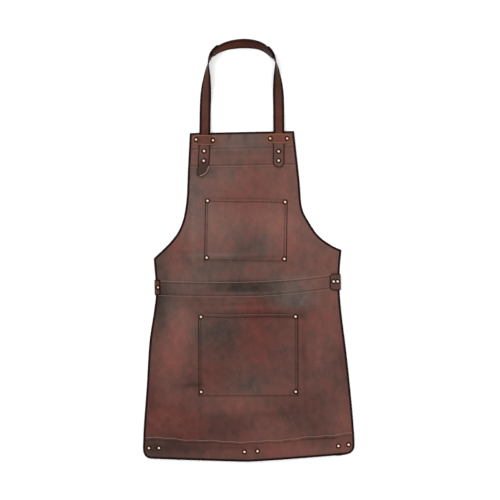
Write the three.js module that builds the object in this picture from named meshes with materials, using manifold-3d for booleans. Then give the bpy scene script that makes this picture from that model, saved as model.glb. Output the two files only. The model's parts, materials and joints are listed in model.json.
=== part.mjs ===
// A leather welding apron lying flat on its back, front side up.
// +X is to the right when the apron is seen from the front, which is its wearer's left,
// +Y runs from the hem to the neck loop and +Z comes out of the front face. Millimetres.
// The origin is the middle of the whole apron's outline, on the surface it lies on.

import * as THREE from 'three';
import { mergeVertices } from 'three/addons/utils/BufferGeometryUtils.js';
import Module from 'manifold-3d';

const wasm = await Module();
wasm.setup();

// ---- Driving sizes -----------------------------------------------------------------------

const GAP = 0.3;                  // clear space between two layers that touch
const HIDE_THICK = 2.0;           // main hide
const TRIM_THICK = 1.8;           // yoke, waist band, hem band, pocket leather
const NECK_THICK = 3.0;           // neck strap leather
const WAIST_THICK = 2.4;          // waist strap and its tab
const KEEPER_THICK = 2.2;
const PAD_THICK = 3.6;            // two plies of the neck pad

const BODY_LENGTH = 914;          // hem to top edge: a 36 inch apron
const TOP_HALF = 144.6;           // half the top edge
const FOLD_Y = 452;               // where the bib folds down over the skirt
const FOLD_CLEAR = 0.3;           // half the gap between the two panels at that fold

// Side edges, from the top edge down. The hide is cut by hand, so its two sides differ a little.
// half: from the middle to the widest point. armpit: inset from there, and drop from the top edge.
// armhole: the curve from the top corner (0, 0) to the armpit (1, 1), as shares of the way across
// and down. side: inset from half, and height above the hem. hemRound: size of the bottom corner.
const HALVES = {
  left: {
    sign: -1,
    half: 292,
    armpit: [40.5, 346],
    armhole: [[0.07, 0.31], [0.125, 0.55], [0.256, 0.728], [0.51, 0.855]],
    side: [[43.5, 520], [45.5, 478], [39, 425], [24, 335], [14, 215], [4, 105], [0.2, 44]],
    hemRound: 24,
  },
  right: {
    sign: 1,
    half: 295,
    armpit: [25.5, 332.6],
    armhole: [[0.095, 0.397], [0.139, 0.631], [0.275, 0.752], [0.492, 0.875], [0.764, 0.955]],
    side: [[31, 530], [33, 475], [29, 405], [17, 290], [6, 159], [0.5, 70], [0, 42]],
    hemRound: 33,
  },
};
const HEM_RISE = 13.5;            // how far the bottom edge rises HEM_REACH from the middle
const HEM_REACH = 262;
const HEM_POWER = 1.2;

const YOKE_HEIGHT = 96;
const HEM_BAND_HEIGHT = 56;       // at the middle
const HEM_BAND_FLARE = 20;        // extra height at the sides
const HEM_BAND_POWER = 1.4;
const BAND_BOTTOM = 456.5;        // waist band, at the middle
const BAND_HEIGHT = 42;
const BAND_LIFT_LEFT = 8;         // how far its ends curve up, at BAND_REACH from the middle
const BAND_LIFT_RIGHT = 15.5;
const BAND_REACH = 235;

const POCKET_DEPTH = 6.2;         // room between the hide and the pocket's bulge
const POCKET_FLANGE = 15;         // flat stitched border beside and below the bulge
const CHEST = { x: 5.6, y: BODY_LENGTH - 273.7, width: 228, height: 175, turn: -2, rivetSide: 6.5, rivetTop: 6.5, rivetBottom: 11 };
const SKIRT = { x: 5.4, y: 293.4, width: 276, height: 230, turn: -1, rivetSide: 7, rivetTop: 6.6, rivetBottom: 15.5 };
const POCKET_CORNER = 4;

const NECK_WIDTH = 31;
const NECK_HINGE_Y = BODY_LENGTH + 4;       // the neck loop folds just above the top edge
const HINGE_CLEAR = 0.3;          // half the gap left at a fold in a strap
const SIDES = {
  left: { x: -103, lean: -3.5, studs: [-42.3, -69.5], tip: -112, tailTurn: -9 },
  right: { x: 101.9, lean: -1.4, studs: [-47.3, -72.8], tip: -91.5, tailTurn: 0 },
};
const STRAP_ANCHOR_Y = BODY_LENGTH - 9;     // height at which each lower strap's x is given
const TAIL_FOLD_DROP = 8.5;       // from the lower stud to the fold of the tail

const KEEPER_HEIGHT = 27;
const KEEPER_RIVET_OUT = 8;       // from the strap's edge to the middle of a keeper rivet
const KEEPER_END = 9.5;           // from there to the keeper's round end
const KEEPER_Y = BODY_LENGTH - 20.5;
const KEEPER_CLEAR = 0.5;         // beside the strap that runs under it

// The neck loop's route over the floor: x, height above the neck hinge and the strap's roll in
// degrees. At 0 the strap lies flat, at 90 it stands on edge and past that it leans outward.
const LOOP_ROUTE = [
  [-102.2, 0, 0], [-99, 82, 6], [-92.5, 144, 48], [-86.5, 190, 90], [-74.5, 215, 108],
  [-45, 233, 126], [9, 241, 139], [57, 233, 126], [83, 213, 108], [95, 190, 90],
  [99.5, 144, 48], [103, 82, 6], [102.25, 0, 0],
];
const LOOP_SETTLE = 80;           // distance over which the straps come down to the floor
const LOOP_GAP = 0.8;             // between strap and pad, which are faceted on a tight curve
const RIBBON_STEP = 3.6;          // length of one facet along the loop
const PAD_HALF = 99;              // half the neck pad's length along the route
const PAD_OVERLAP = 35;           // strap end behind the pad
const PAD_RIVETS = [71, 91];      // along the route from its middle

const WAIST_WIDTH = 42;
const WAIST_Y = 488;
const WAIST_TURN = 0.6;           // the waist strap climbs a little towards +X
const WAIST_LIP = 12;             // left end folded onto the front
const EDGE_CLEAR = 0.6;           // between the hide's edge and a strap folded round it
// The tab's fold stands outside the hide's edge; length and snaps are measured back from it.
const TAB = { y: 494.8, height: 46, length: 29.5, fold: 2.5, clear: 1.6, clip: 7, snaps: [19.1, 7.9] };

const POST_R = 1.6;
const POST_CLEAR = 0.3;
const HEAD_R = 5.3;
const HEAD_HEIGHT = 2.2;
const BURR_R = 4.2;
const SNAP_KNOB_R = 2.3;
const SNAP_SOCKET_R = 2.8;
const SNAP_RING_R = 3.7;
const SNAP_FLANGE_R = 3.8;
const SNAP_KNOB_HEIGHT = 1.7;

const HEM_MIDDLE_RIVETS = [[-11, 28], [25.3, 29]];
const HEM_SIDE_RIVETS = { left: [[17, 43.5], [44.7, 43.2]], right: [[45.2, 39], [17.2, 42]] };  // inset, height
const LIP_INSET = 5.6;            // waist lip rivet, from the hide's edge

// ---- Heights of the layers, worked out from the thicknesses -------------------------------

const HIDE_BACK = WAIST_THICK + GAP;
const HIDE_FRONT = HIDE_BACK + HIDE_THICK;
const TRIM_BACK = HIDE_FRONT + GAP;
const TRIM_FRONT = TRIM_BACK + TRIM_THICK;
const TOP_BACK = TRIM_FRONT + GAP;
const NECK_FRONT = TOP_BACK + NECK_THICK;
const TAB_FRONT = TOP_BACK + WAIST_THICK;
const KEEPER_FRONT = TOP_BACK + KEEPER_THICK;
const BURR_TOP = HIDE_BACK - GAP;
const HOLE_R = POST_R + POST_CLEAR;

const LEATHER = { body: 0x765c50, trim: 0x5f463c, strap: 0x6b4a3a, keeper: 0x8a5430, pad: 0x5a3223 };
const METAL = 0x9a6b48;

const apron = new THREE.Group();

// ---- Small helpers -------------------------------------------------------------------------

function vec(pair) {
  return new THREE.Vector2(pair[0], pair[1]);
}

function addPart(name, geometry, color, parent = apron, metal = false) {
  const material = new THREE.MeshStandardMaterial({
    color,
    roughness: metal ? 0.4 : 0.7,
    metalness: metal ? 0.9 : 0,
  });
  const mesh = new THREE.Mesh(geometry, material);
  mesh.name = name;
  parent.add(mesh);
  return mesh;
}

function roundHole(x, y, radius) {
  const hole = new THREE.Path();
  hole.absarc(x, y, radius, 0, Math.PI * 2, true);
  return hole;
}

// A flat piece of leather: an outline with holes, from one height to another.
function slab(points, low, high, holes = []) {
  const shape = new THREE.Shape(points);
  shape.holes = holes;
  const geometry = new THREE.ExtrudeGeometry(shape, {
    depth: high - low,
    bevelEnabled: false,
    curveSegments: 5,
  });
  return geometry.translate(0, 0, low);
}

function toSolid(geometry) {
  const bare = geometry.clone();
  bare.deleteAttribute('normal');
  bare.deleteAttribute('uv');
  const merged = mergeVertices(bare, 1e-4);
  return new wasm.Manifold(new wasm.Mesh({
    numProp: 3,
    vertProperties: new Float32Array(merged.attributes.position.array),
    triVerts: new Uint32Array(merged.index.array),
  }));
}

function toGeometry(solid) {
  const mesh = solid.getMesh();
  const geometry = new THREE.BufferGeometry();
  geometry.setAttribute('position', new THREE.BufferAttribute(new Float32Array(mesh.vertProperties), 3));
  geometry.setIndex(new THREE.BufferAttribute(new Uint32Array(mesh.triVerts), 1));
  return geometry;
}

// ---- The hide's outline ----------------------------------------------------------------------

function bottomY(x) {
  return HEM_RISE * Math.pow(Math.abs(x) / HEM_REACH, HEM_POWER);
}

// One side edge as points from the top edge to the end of the round bottom corner.
function sideEdge({ sign, half, armpit, armhole, side, hemRound }) {
  const across = half - armpit[0] - TOP_HALF;
  const upperPoints = [[0, 0], ...armhole, [1, 1]].map(([u, v]) => (
    new THREE.Vector2(sign * (TOP_HALF + u * across), BODY_LENGTH - v * armpit[1])
  ));
  const upper = new THREE.SplineCurve(upperPoints);
  const lowerPoints = side.map(([inset, y]) => new THREE.Vector2(sign * (half - inset), y));
  const lower = new THREE.SplineCurve([upperPoints.at(-1), ...lowerPoints]);
  const last = lowerPoints.at(-1);
  const hemX = last.x - sign * hemRound;
  const hemEnd = new THREE.Vector2(hemX, bottomY(hemX));
  const round = new THREE.QuadraticBezierCurve(last, new THREE.Vector2(last.x, hemEnd.y), hemEnd);
  return [...upper.getPoints(14), ...lower.getPoints(18).slice(1), ...round.getPoints(6).slice(1)];
}

const EDGES = { left: sideEdge(HALVES.left), right: sideEdge(HALVES.right) };

// Where a side edge crosses the line y = lineY(x).
function edgeCrossing(edge, lineY) {
  for (let i = 1; i < edge.length; i += 1) {
    const above = edge[i - 1].y - lineY(edge[i - 1].x);
    const below = edge[i].y - lineY(edge[i].x);
    if (above >= 0 && below < 0) {
      return edge[i - 1].clone().lerp(edge[i], above / (above - below));
    }
  }
  throw new Error('the line does not cross the edge');
}

// The part of a side edge between two such lines, from the upper one to the lower one.
function edgeBetween(edge, topY, lowY) {
  const inside = edge.filter((p) => p.y < topY(p.x) - 0.5 && (lowY === null || p.y > lowY(p.x) + 0.5));
  const start = edgeCrossing(edge, topY);
  return lowY === null ? [start, ...inside] : [start, ...inside, edgeCrossing(edge, lowY)];
}

function lineBetween(from, to, lineY, steps) {
  const points = [];
  for (let i = 1; i < steps; i += 1) {
    const x = THREE.MathUtils.lerp(from.x, to.x, i / steps);
    points.push(new THREE.Vector2(x, lineY(x)));
  }
  return points;
}

// A piece of the hide between two lines; lowY null takes everything down to the bottom edge.
function hidePiece(topY, lowY, steps) {
  const left = edgeBetween(EDGES.left, topY, lowY);
  const right = edgeBetween(EDGES.right, topY, lowY);
  const bottom = lineBetween(left[left.length - 1], right[right.length - 1], lowY ?? bottomY, steps);
  const top = lineBetween(right[0], left[0], topY, steps);
  return [...left, ...bottom, ...right.reverse(), ...top];
}

const straight = (y) => () => y;
const topEdge = straight(BODY_LENGTH - 0.001);
const hemTop = (x) => HEM_BAND_HEIGHT + HEM_BAND_FLARE * Math.pow(Math.abs(x) / HALVES.right.half, HEM_BAND_POWER);
function bandBottom(x) {
  const lift = x < 0 ? BAND_LIFT_LEFT : BAND_LIFT_RIGHT;
  return BAND_BOTTOM + lift * (x / BAND_REACH) ** 2;
}
const bandTop = (x) => bandBottom(x) + BAND_HEIGHT;

// ---- Rivets -----------------------------------------------------------------------------------

// Heads are domed; the burr is the peened washer on the back. Heights run along the rivet.
function rivetGeometry(burrLow, burrHigh, headLow, headR = HEAD_R) {
  const profile = [
    [0, burrLow], [BURR_R, burrLow], [BURR_R, burrHigh], [POST_R, burrHigh], [POST_R, headLow],
    [headR, headLow], [headR, headLow + 0.25 * HEAD_HEIGHT], [0.72 * headR, headLow + 0.75 * HEAD_HEIGHT],
    [0, headLow + HEAD_HEIGHT],
  ];
  return new THREE.LatheGeometry(profile.map(vec), 10).rotateX(Math.PI / 2);
}

function addRivet(name, x, y, headLow, parent = apron, headR = HEAD_R) {
  const rivet = addPart(name, rivetGeometry(0, BURR_TOP, headLow + GAP, headR), METAL, parent, true);
  rivet.position.set(x, y, 0);
  return rivet;
}

// ---- Where the rivets go, so that each layer is punched in the same places ---------------------

function placed(x, y, spec) {
  const turn = THREE.MathUtils.degToRad(spec.turn);
  return new THREE.Vector2(x, y).rotateAround(new THREE.Vector2(), turn).add(new THREE.Vector2(spec.x, spec.y));
}

function pocketRivets(spec) {
  const half = spec.width / 2 - spec.rivetSide;
  const top = spec.height / 2 - spec.rivetTop;
  const low = spec.rivetBottom - spec.height / 2;
  return [[-half, top], [half, top], [-half, low], [half, low]];
}

function onStrap(side, x, y) {
  const spec = { x: SIDES[side].x, y: STRAP_ANCHOR_Y, turn: SIDES[side].lean };
  return placed(x, y, spec);
}

const KEEPER_LOCAL_Y = KEEPER_Y - STRAP_ANCHOR_Y;
const keeperRivetX = NECK_WIDTH / 2 + KEEPER_RIVET_OUT;
const keeperRivets = [-keeperRivetX, keeperRivetX];
const strapHoles = [];
for (const side of Object.keys(SIDES)) {
  keeperRivets.forEach((x) => strapHoles.push(onStrap(side, x, KEEPER_LOCAL_Y)));
  SIDES[side].studs.forEach((y) => strapHoles.push(onStrap(side, 0, y)));
}
const chestHoles = pocketRivets(CHEST).map(([x, y]) => placed(x, y, CHEST));
const skirtHoles = pocketRivets(SKIRT).map(([x, y]) => placed(x, y, SKIRT));
const punch = (points, radius = HOLE_R) => points.map((p) => roundHole(p.x, p.y, radius));
const edgeX = (side, y) => edgeCrossing(EDGES[side], straight(y)).x;
const tabFoldX = edgeX('right', TAB.y) + TAB.fold;
const snapSeats = TAB.snaps.map((back) => new THREE.Vector2(tabFoldX - back, TAB.y));
const lipSeat = new THREE.Vector2(edgeX('left', WAIST_Y) + LIP_INSET, WAIST_Y);
const hemSeats = HEM_MIDDLE_RIVETS.map(vec);
for (const [side, seats] of Object.entries(HEM_SIDE_RIVETS)) {
  const { sign, half } = HALVES[side];
  seats.forEach(([inset, y]) => hemSeats.push(new THREE.Vector2(sign * (half - inset), y)));
}

// ---- Main hide and the bands stitched on it ------------------------------------------------------

function addHide() {
  const foldTop = straight(FOLD_Y + FOLD_CLEAR);
  const foldLow = straight(FOLD_Y - FOLD_CLEAR);
  const upperHoles = [
    ...punch([...strapHoles, ...chestHoles, lipSeat]),
    ...punch(snapSeats, SNAP_FLANGE_R + POST_CLEAR),
  ];
  const upper = slab(hidePiece(topEdge, foldTop, 2), HIDE_BACK, HIDE_FRONT, upperHoles);
  addPart('main_panel_upper', upper, LEATHER.body);
  const lowerHoles = punch([...skirtHoles, ...hemSeats]);
  const lower = slab(hidePiece(foldLow, null, 20), HIDE_BACK, HIDE_FRONT, lowerHoles);
  addPart('main_panel_lower', lower, LEATHER.trim);
}

function addBands() {
  const yoke = hidePiece(topEdge, straight(BODY_LENGTH - YOKE_HEIGHT), 2);
  addPart('yoke', slab(yoke, TRIM_BACK, TRIM_FRONT, punch(strapHoles)), LEATHER.trim);
  const band = hidePiece(bandTop, bandBottom, 20);
  const bandHoles = punch([lipSeat, ...snapSeats]);
  addPart('waist_band', slab(band, TRIM_BACK, TRIM_FRONT, bandHoles), LEATHER.trim);
  const hem = hidePiece(hemTop, null, 20);
  addPart('hem_band', slab(hem, TRIM_BACK, TRIM_FRONT, punch(hemSeats)), LEATHER.trim);
}

function addHemRivets() {
  hemSeats.forEach((seat, i) => addRivet(`hem_rivet_${i + 1}`, seat.x, seat.y, TRIM_FRONT));
}

// ---- Patch pockets ----------------------------------------------------------------------------------

function roundedRect(halfX, lowY, highY, radius) {
  const shape = new THREE.Shape();
  shape.moveTo(-halfX + radius, lowY);
  shape.lineTo(halfX - radius, lowY);
  shape.absarc(halfX - radius, lowY + radius, radius, -Math.PI / 2, 0);
  shape.lineTo(halfX, highY);
  shape.lineTo(-halfX, highY);
  shape.lineTo(-halfX, lowY + radius);
  shape.absarc(-halfX + radius, lowY + radius, radius, Math.PI, Math.PI * 1.5);
  return shape.getPoints(4);
}

// A patch pocket is a shallow tray: a flat border, and a bulge that is open at its top edge.
function pocketGeometry(spec) {
  const halfX = spec.width / 2;
  const halfY = spec.height / 2;
  const inner = halfX - POCKET_FLANGE;
  const holes = punch(pocketRivets(spec).map(vec));
  const flange = slab(roundedRect(halfX, -halfY, halfY, POCKET_CORNER), TRIM_BACK, TRIM_FRONT, holes);
  const roof = HIDE_FRONT + POCKET_DEPTH;
  const outerShape = roundedRect(inner, -halfY + POCKET_FLANGE, halfY, 3 * POCKET_CORNER);
  const outer = slab(outerShape, TRIM_BACK, roof + TRIM_THICK);
  const roomLow = -halfY + POCKET_FLANGE + TRIM_THICK;
  const roomShape = roundedRect(inner - TRIM_THICK, roomLow, halfY + 10, 3 * POCKET_CORNER - TRIM_THICK);
  const room = slab(roomShape, HIDE_FRONT - 1, roof);
  return toGeometry(toSolid(flange).add(toSolid(outer)).subtract(toSolid(room)));
}

function addPocket(name, spec) {
  const seat = new THREE.Group();
  seat.position.set(spec.x, spec.y, 0);
  seat.rotation.z = THREE.MathUtils.degToRad(spec.turn);
  apron.add(seat);
  addPart(name, pocketGeometry(spec), LEATHER.body, seat);
  pocketRivets(spec).forEach(([x, y], i) => addRivet(`${name}_rivet_${i + 1}`, x, y, TRIM_FRONT, seat));
}

// ---- Neck straps on the yoke: keeper, strap, studs and tail ---------------------------------------

function keeperGeometry() {
  const halfX = keeperRivetX + KEEPER_END;
  const halfY = KEEPER_HEIGHT / 2;
  const legIn = NECK_WIDTH / 2 + KEEPER_CLEAR;
  const legOut = legIn + KEEPER_THICK;
  const bridgeLow = NECK_FRONT + GAP;
  const bridgeHigh = bridgeLow + KEEPER_THICK;
  const half = [
    [halfX, TOP_BACK], [halfX, KEEPER_FRONT], [legOut, KEEPER_FRONT], [legOut, bridgeHigh - 0.8], [legOut - 0.8, bridgeHigh],
  ];
  const inside = [[legIn, bridgeLow], [legIn, TOP_BACK]];
  const mirror = (points) => points.map(([x, z]) => [-x, z]).reverse();
  const profile = [...half, ...mirror(half), ...mirror(inside), ...inside].map(vec);
  const arch = slab(profile, -halfY, halfY).rotateX(Math.PI / 2);
  const plan = new THREE.Shape();
  plan.absarc(halfX - halfY, 0, halfY, -Math.PI / 2, Math.PI / 2);
  plan.absarc(halfY - halfX, 0, halfY, Math.PI / 2, Math.PI * 1.5);
  const holes = keeperRivets.map((x) => roundHole(x, 0, HOLE_R));
  const trimmed = slab(plan.getPoints(8), TOP_BACK - 1, bridgeHigh + 1, holes);
  return toGeometry(toSolid(arch).intersect(toSolid(trimmed)));
}

function tailOutline(length) {
  const half = NECK_WIDTH / 2;
  const round = Math.min(0.8 * half, 0.7 * length);
  const tongue = new THREE.Shape();
  tongue.moveTo(half, 0);
  tongue.lineTo(-half, 0);
  tongue.lineTo(-half, -length + round);
  tongue.quadraticCurveTo(-half * 0.8, -length, 0, -length);
  tongue.quadraticCurveTo(half * 0.8, -length, half, -length + round);
  return tongue.getPoints(6);
}

function addYokeStrap(side) {
  const spec = SIDES[side];
  const seat = new THREE.Group();
  seat.position.set(spec.x, STRAP_ANCHOR_Y, 0);
  seat.rotation.z = THREE.MathUtils.degToRad(spec.lean);
  apron.add(seat);

  const half = NECK_WIDTH / 2;
  const top = NECK_HINGE_Y - STRAP_ANCHOR_Y - HINGE_CLEAR;
  const fold = spec.studs[1] - TAIL_FOLD_DROP;
  const base = [[-half, fold + HINGE_CLEAR], [half, fold + HINGE_CLEAR], [half, top], [-half, top]];
  const baseHoles = spec.studs.map((y) => roundHole(0, y, HOLE_R));
  addPart(`neck_strap_${side}_base`, slab(base.map(vec), TOP_BACK, NECK_FRONT, baseHoles), LEATHER.strap, seat);

  const tail = slab(tailOutline(fold - HINGE_CLEAR - spec.tip), TOP_BACK, NECK_FRONT);
  const tailMesh = addPart(`neck_strap_${side}_tail`, tail, LEATHER.strap, seat);
  tailMesh.position.y = fold - HINGE_CLEAR;
  tailMesh.rotation.z = THREE.MathUtils.degToRad(spec.tailTurn);
  const turnGap = half * Math.sin(Math.abs(tailMesh.rotation.z));
  tailMesh.position.y -= turnGap;

  const keeper = addPart(`keeper_${side}`, keeperGeometry(), LEATHER.keeper, seat);
  keeper.position.y = KEEPER_LOCAL_Y;
  keeperRivets.forEach((x, i) => {
    addRivet(`keeper_${side}_rivet_${i + 1}`, x, KEEPER_LOCAL_Y, KEEPER_FRONT, seat, HEAD_R - 0.4);
  });
  spec.studs.forEach((y, i) => addRivet(`neck_stud_${side}_${i + 1}`, 0, y, NECK_FRONT, seat));
}

// ---- Neck loop: two straps that turn on edge, and the pad between them -----------------------------

const routeLine = new THREE.CatmullRomCurve3(
  LOOP_ROUTE.map(([x, rise]) => new THREE.Vector3(x, NECK_HINGE_Y + rise, 0)),
);
const routeRoll = new THREE.LinearInterpolant(
  LOOP_ROUTE.map((p, i) => i / (LOOP_ROUTE.length - 1)),
  LOOP_ROUTE.map((p) => THREE.MathUtils.degToRad(p[2])),
  1,
);
const UP = new THREE.Vector3(0, 0, 1);

// The surface between strap and pad at t: its middle, direction of travel and outward face.
function loopFrame(t) {
  const middle = routeLine.getPoint(t);
  const along = routeLine.getTangent(t);
  const outward = new THREE.Vector3().crossVectors(UP, along);
  const roll = routeRoll.evaluate(t)[0];
  const face = UP.clone().multiplyScalar(Math.cos(roll)).addScaledVector(outward, Math.sin(roll));
  const settle = THREE.MathUtils.smoothstep(middle.y, NECK_HINGE_Y, NECK_HINGE_Y + LOOP_SETTLE);
  const lean = Math.max(0, -Math.cos(roll)) * (NECK_THICK + LOOP_GAP);
  middle.z = (NECK_WIDTH / 2) * Math.sin(roll) + lean + TOP_BACK * (1 - settle);
  return { middle, along, face, across: new THREE.Vector3().crossVectors(face, along) };
}

class LoopStretch extends THREE.Curve {
  constructor(from, to, offset) {
    super();
    this.from = from;
    this.to = to;
    this.offset = offset;
  }

  frameAt(t) {
    return loopFrame(THREE.MathUtils.lerp(this.from, this.to, t));
  }

  getPoint(t, target = new THREE.Vector3()) {
    const frame = this.frameAt(t);
    return target.copy(frame.middle).addScaledVector(frame.face, this.offset);
  }

  computeFrenetFrames(segments) {
    const frames = { tangents: [], normals: [], binormals: [] };
    for (let i = 0; i <= segments; i += 1) {
      const frame = this.frameAt(this.getUtoTmapping(i / segments));
      frames.tangents.push(frame.along);
      frames.normals.push(frame.across);
      frames.binormals.push(frame.face);
    }
    return frames;
  }
}

function ribbon(from, to, offset, thick) {
  const halfX = NECK_WIDTH / 2;
  const halfY = thick / 2;
  const section = new THREE.Shape([[-halfX, -halfY], [halfX, -halfY], [halfX, halfY], [-halfX, halfY]].map(vec));
  const extrudePath = new LoopStretch(from, to, offset);
  const steps = Math.round(extrudePath.getLength() / RIBBON_STEP);
  return new THREE.ExtrudeGeometry(section, { extrudePath, steps, bevelEnabled: false });
}

// A piece made along its own Z, set on the loop at t with +Z out of the strap's face.
function setOnLoop(geometry, t) {
  const frame = loopFrame(t);
  const seat = new THREE.Matrix4().makeBasis(frame.across, frame.along.clone().negate(), frame.face);
  seat.setPosition(frame.middle);
  return geometry.clone().applyMatrix4(seat);
}

function addNeckLoop() {
  const length = routeLine.getLength();
  const middleU = routeLine.getLengths(400)[200] / length;
  const atArc = (distance) => routeLine.getUtoTmapping(middleU + distance / length);
  const start = HINGE_CLEAR / length;
  const strapEnd = PAD_HALF - PAD_OVERLAP;
  const outerOffset = (LOOP_GAP + NECK_THICK) / 2;
  const innerOffset = -(LOOP_GAP + PAD_THICK) / 2;
  const rivetTs = { left: PAD_RIVETS.map((s) => atArc(-s)), right: PAD_RIVETS.map((s) => atArc(s)) };
  const bore = new THREE.CylinderGeometry(HOLE_R, HOLE_R, 30, 10).rotateX(Math.PI / 2);
  const cut = (geometry, ts) => {
    const holes = ts.map((t) => toSolid(setOnLoop(bore, t)));
    return toGeometry(holes.reduce((solid, hole) => solid.subtract(hole), toSolid(geometry)));
  };

  const left = ribbon(atArc((start - middleU) * length), atArc(-strapEnd), outerOffset, NECK_THICK);
  addPart('neck_strap_left', cut(left, rivetTs.left), LEATHER.strap);
  const right = ribbon(atArc(strapEnd), atArc((1 - start - middleU) * length), outerOffset, NECK_THICK);
  addPart('neck_strap_right', cut(right, rivetTs.right), LEATHER.strap);
  const pad = ribbon(atArc(-PAD_HALF), atArc(PAD_HALF), innerOffset, PAD_THICK);
  addPart('neck_pad', cut(pad, [...rivetTs.left, ...rivetTs.right]), LEATHER.pad);

  const burrTop = -(PAD_THICK + LOOP_GAP / 2 + 2 * GAP);
  const rivet = rivetGeometry(burrTop - 1, burrTop, NECK_THICK + LOOP_GAP, HEAD_R - 0.3);
  for (const side of Object.keys(rivetTs)) {
    rivetTs[side].forEach((t, i) => {
      addPart(`neck_pad_rivet_${side}_${i + 1}`, setOnLoop(rivet, t), METAL, apron, true);
    });
  }
}

// ---- Waist strap behind the apron, and its tab on the front ------------------------------------------

function addWaistStrap() {
  const turn = Math.tan(THREE.MathUtils.degToRad(WAIST_TURN));
  const half = WAIST_WIDTH / 2;
  const leftIn = edgeX('left', WAIST_Y + half) - EDGE_CLEAR;
  const leftOut = leftIn - WAIST_THICK;
  const rightIn = edgeX('right', TAB.y + half) + EDGE_CLEAR;
  const rightOut = rightIn + WAIST_THICK;
  const lipEnd = lipSeat.x + WAIST_LIP / 2;
  const turnUp = TRIM_FRONT - 1;
  const profile = [
    [leftOut + 1, 0], [rightOut - 1, 0], [rightOut, 1], [rightOut, turnUp], [rightIn, turnUp], [rightIn, WAIST_THICK],
    [leftIn, WAIST_THICK], [leftIn, TOP_BACK], [lipEnd, TOP_BACK], [lipEnd, TAB_FRONT], [leftOut + 1, TAB_FRONT],
    [leftOut, TAB_FRONT - 1], [leftOut, 1],
  ];
  const run = slab(profile.map(vec), -half, half).rotateX(Math.PI / 2);
  run.translate(0, WAIST_Y, 0);
  const shear = new THREE.Matrix4().makeShear(turn, 0, 0, 0, 0, 0);
  const { x, y } = lipSeat;
  run.translate(-x, 0, 0).applyMatrix4(shear).translate(x, 0, 0);
  const bore = new THREE.CylinderGeometry(HOLE_R, HOLE_R, 40, 10).rotateX(Math.PI / 2).translate(x, y, 0);
  const seatDepth = 1 + GAP;
  const seat = new THREE.CylinderGeometry(BURR_R + GAP, BURR_R + GAP, 2 * seatDepth, 12).rotateX(Math.PI / 2);
  seat.translate(x, y, 0);
  const strap = toSolid(run).subtract(toSolid(bore)).subtract(toSolid(seat));
  addPart('waist_strap', toGeometry(strap), LEATHER.strap);
  const rivet = addPart('waist_lip_rivet', rivetGeometry(0, 1, TAB_FRONT + GAP, HEAD_R - 0.4), METAL, apron, true);
  rivet.position.set(x, y, 0);
}

function addWaistTab() {
  const low = TAB.y - TAB.height / 2;
  const high = TAB.y + TAB.height / 2;
  const end = tabFoldX - TAB.clear;
  const tip = tabFoldX - TAB.length;
  const outline = [
    [end, low], [end, high], [tip + TAB.clip, high], [tip, high - TAB.clip],
    [tip, low + TAB.clip], [tip + TAB.clip, low],
  ];
  const holes = punch(snapSeats, SNAP_RING_R + POST_CLEAR);
  addPart('waist_tab', slab(outline.map(vec), TOP_BACK, TAB_FRONT, holes), LEATHER.strap);
  snapSeats.forEach((place, i) => {
    addSnapCap(`waist_snap_cap_${i + 1}`, place);
    addSnapPost(`waist_snap_post_${i + 1}`, place);
  });
}

function addSnapCap(name, place) {
  const roof = TOP_BACK + SNAP_KNOB_HEIGHT + GAP;
  const base = TAB_FRONT + GAP;
  const profile = [
    [0, roof], [SNAP_SOCKET_R, roof], [SNAP_SOCKET_R, TOP_BACK], [SNAP_RING_R, TOP_BACK], [SNAP_RING_R, base],
    [HEAD_R, base], [HEAD_R, base + 0.25 * HEAD_HEIGHT], [0.72 * HEAD_R, base + 0.75 * HEAD_HEIGHT],
    [0, base + HEAD_HEIGHT],
  ];
  const cap = new THREE.LatheGeometry(profile.map(vec), 10).rotateX(Math.PI / 2);
  addPart(name, cap, METAL, apron, true).position.set(place.x, place.y, 0);
}

function addSnapPost(name, place) {
  const profile = [
    [0, HIDE_BACK + 0.8], [SNAP_FLANGE_R, HIDE_BACK + 0.8], [SNAP_FLANGE_R, HIDE_FRONT], [POST_R, HIDE_FRONT],
    [POST_R, TOP_BACK], [SNAP_KNOB_R, TOP_BACK], [SNAP_KNOB_R, TOP_BACK + SNAP_KNOB_HEIGHT],
    [0, TOP_BACK + SNAP_KNOB_HEIGHT],
  ];
  const post = new THREE.LatheGeometry(profile.map(vec), 10).rotateX(Math.PI / 2);
  addPart(name, post, METAL, apron, true).position.set(place.x, place.y, 0);
}

// ---- The apron ------------------------------------------------------------------------------------------

addHide();
addBands();
addHemRivets();
addPocket('chest_pocket', CHEST);
addPocket('skirt_pocket', SKIRT);
Object.keys(SIDES).forEach(addYokeStrap);
addNeckLoop();
addWaistStrap();
addWaistTab();

const box = new THREE.Box3().setFromObject(apron);
const centre = box.getCenter(new THREE.Vector3());
apron.position.set(-centre.x, -centre.y, -box.min.z);

export default apron;
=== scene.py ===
# %% [markdown]
# # A leather welding apron, laid out flat
#
# The apron is a hide with bands, pockets and straps sewn and riveted on it. Everything that
# moves or fits is already in a fixed frame, so this script only dresses that frame: it lays
# soft leather over each part, punches rivets through it and runs thread along its seams.
# All lengths below are in millimetres and are turned into metres when a mesh is made.

# %% Tools and the fixed frame
import json
import math
from functools import partial

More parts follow.
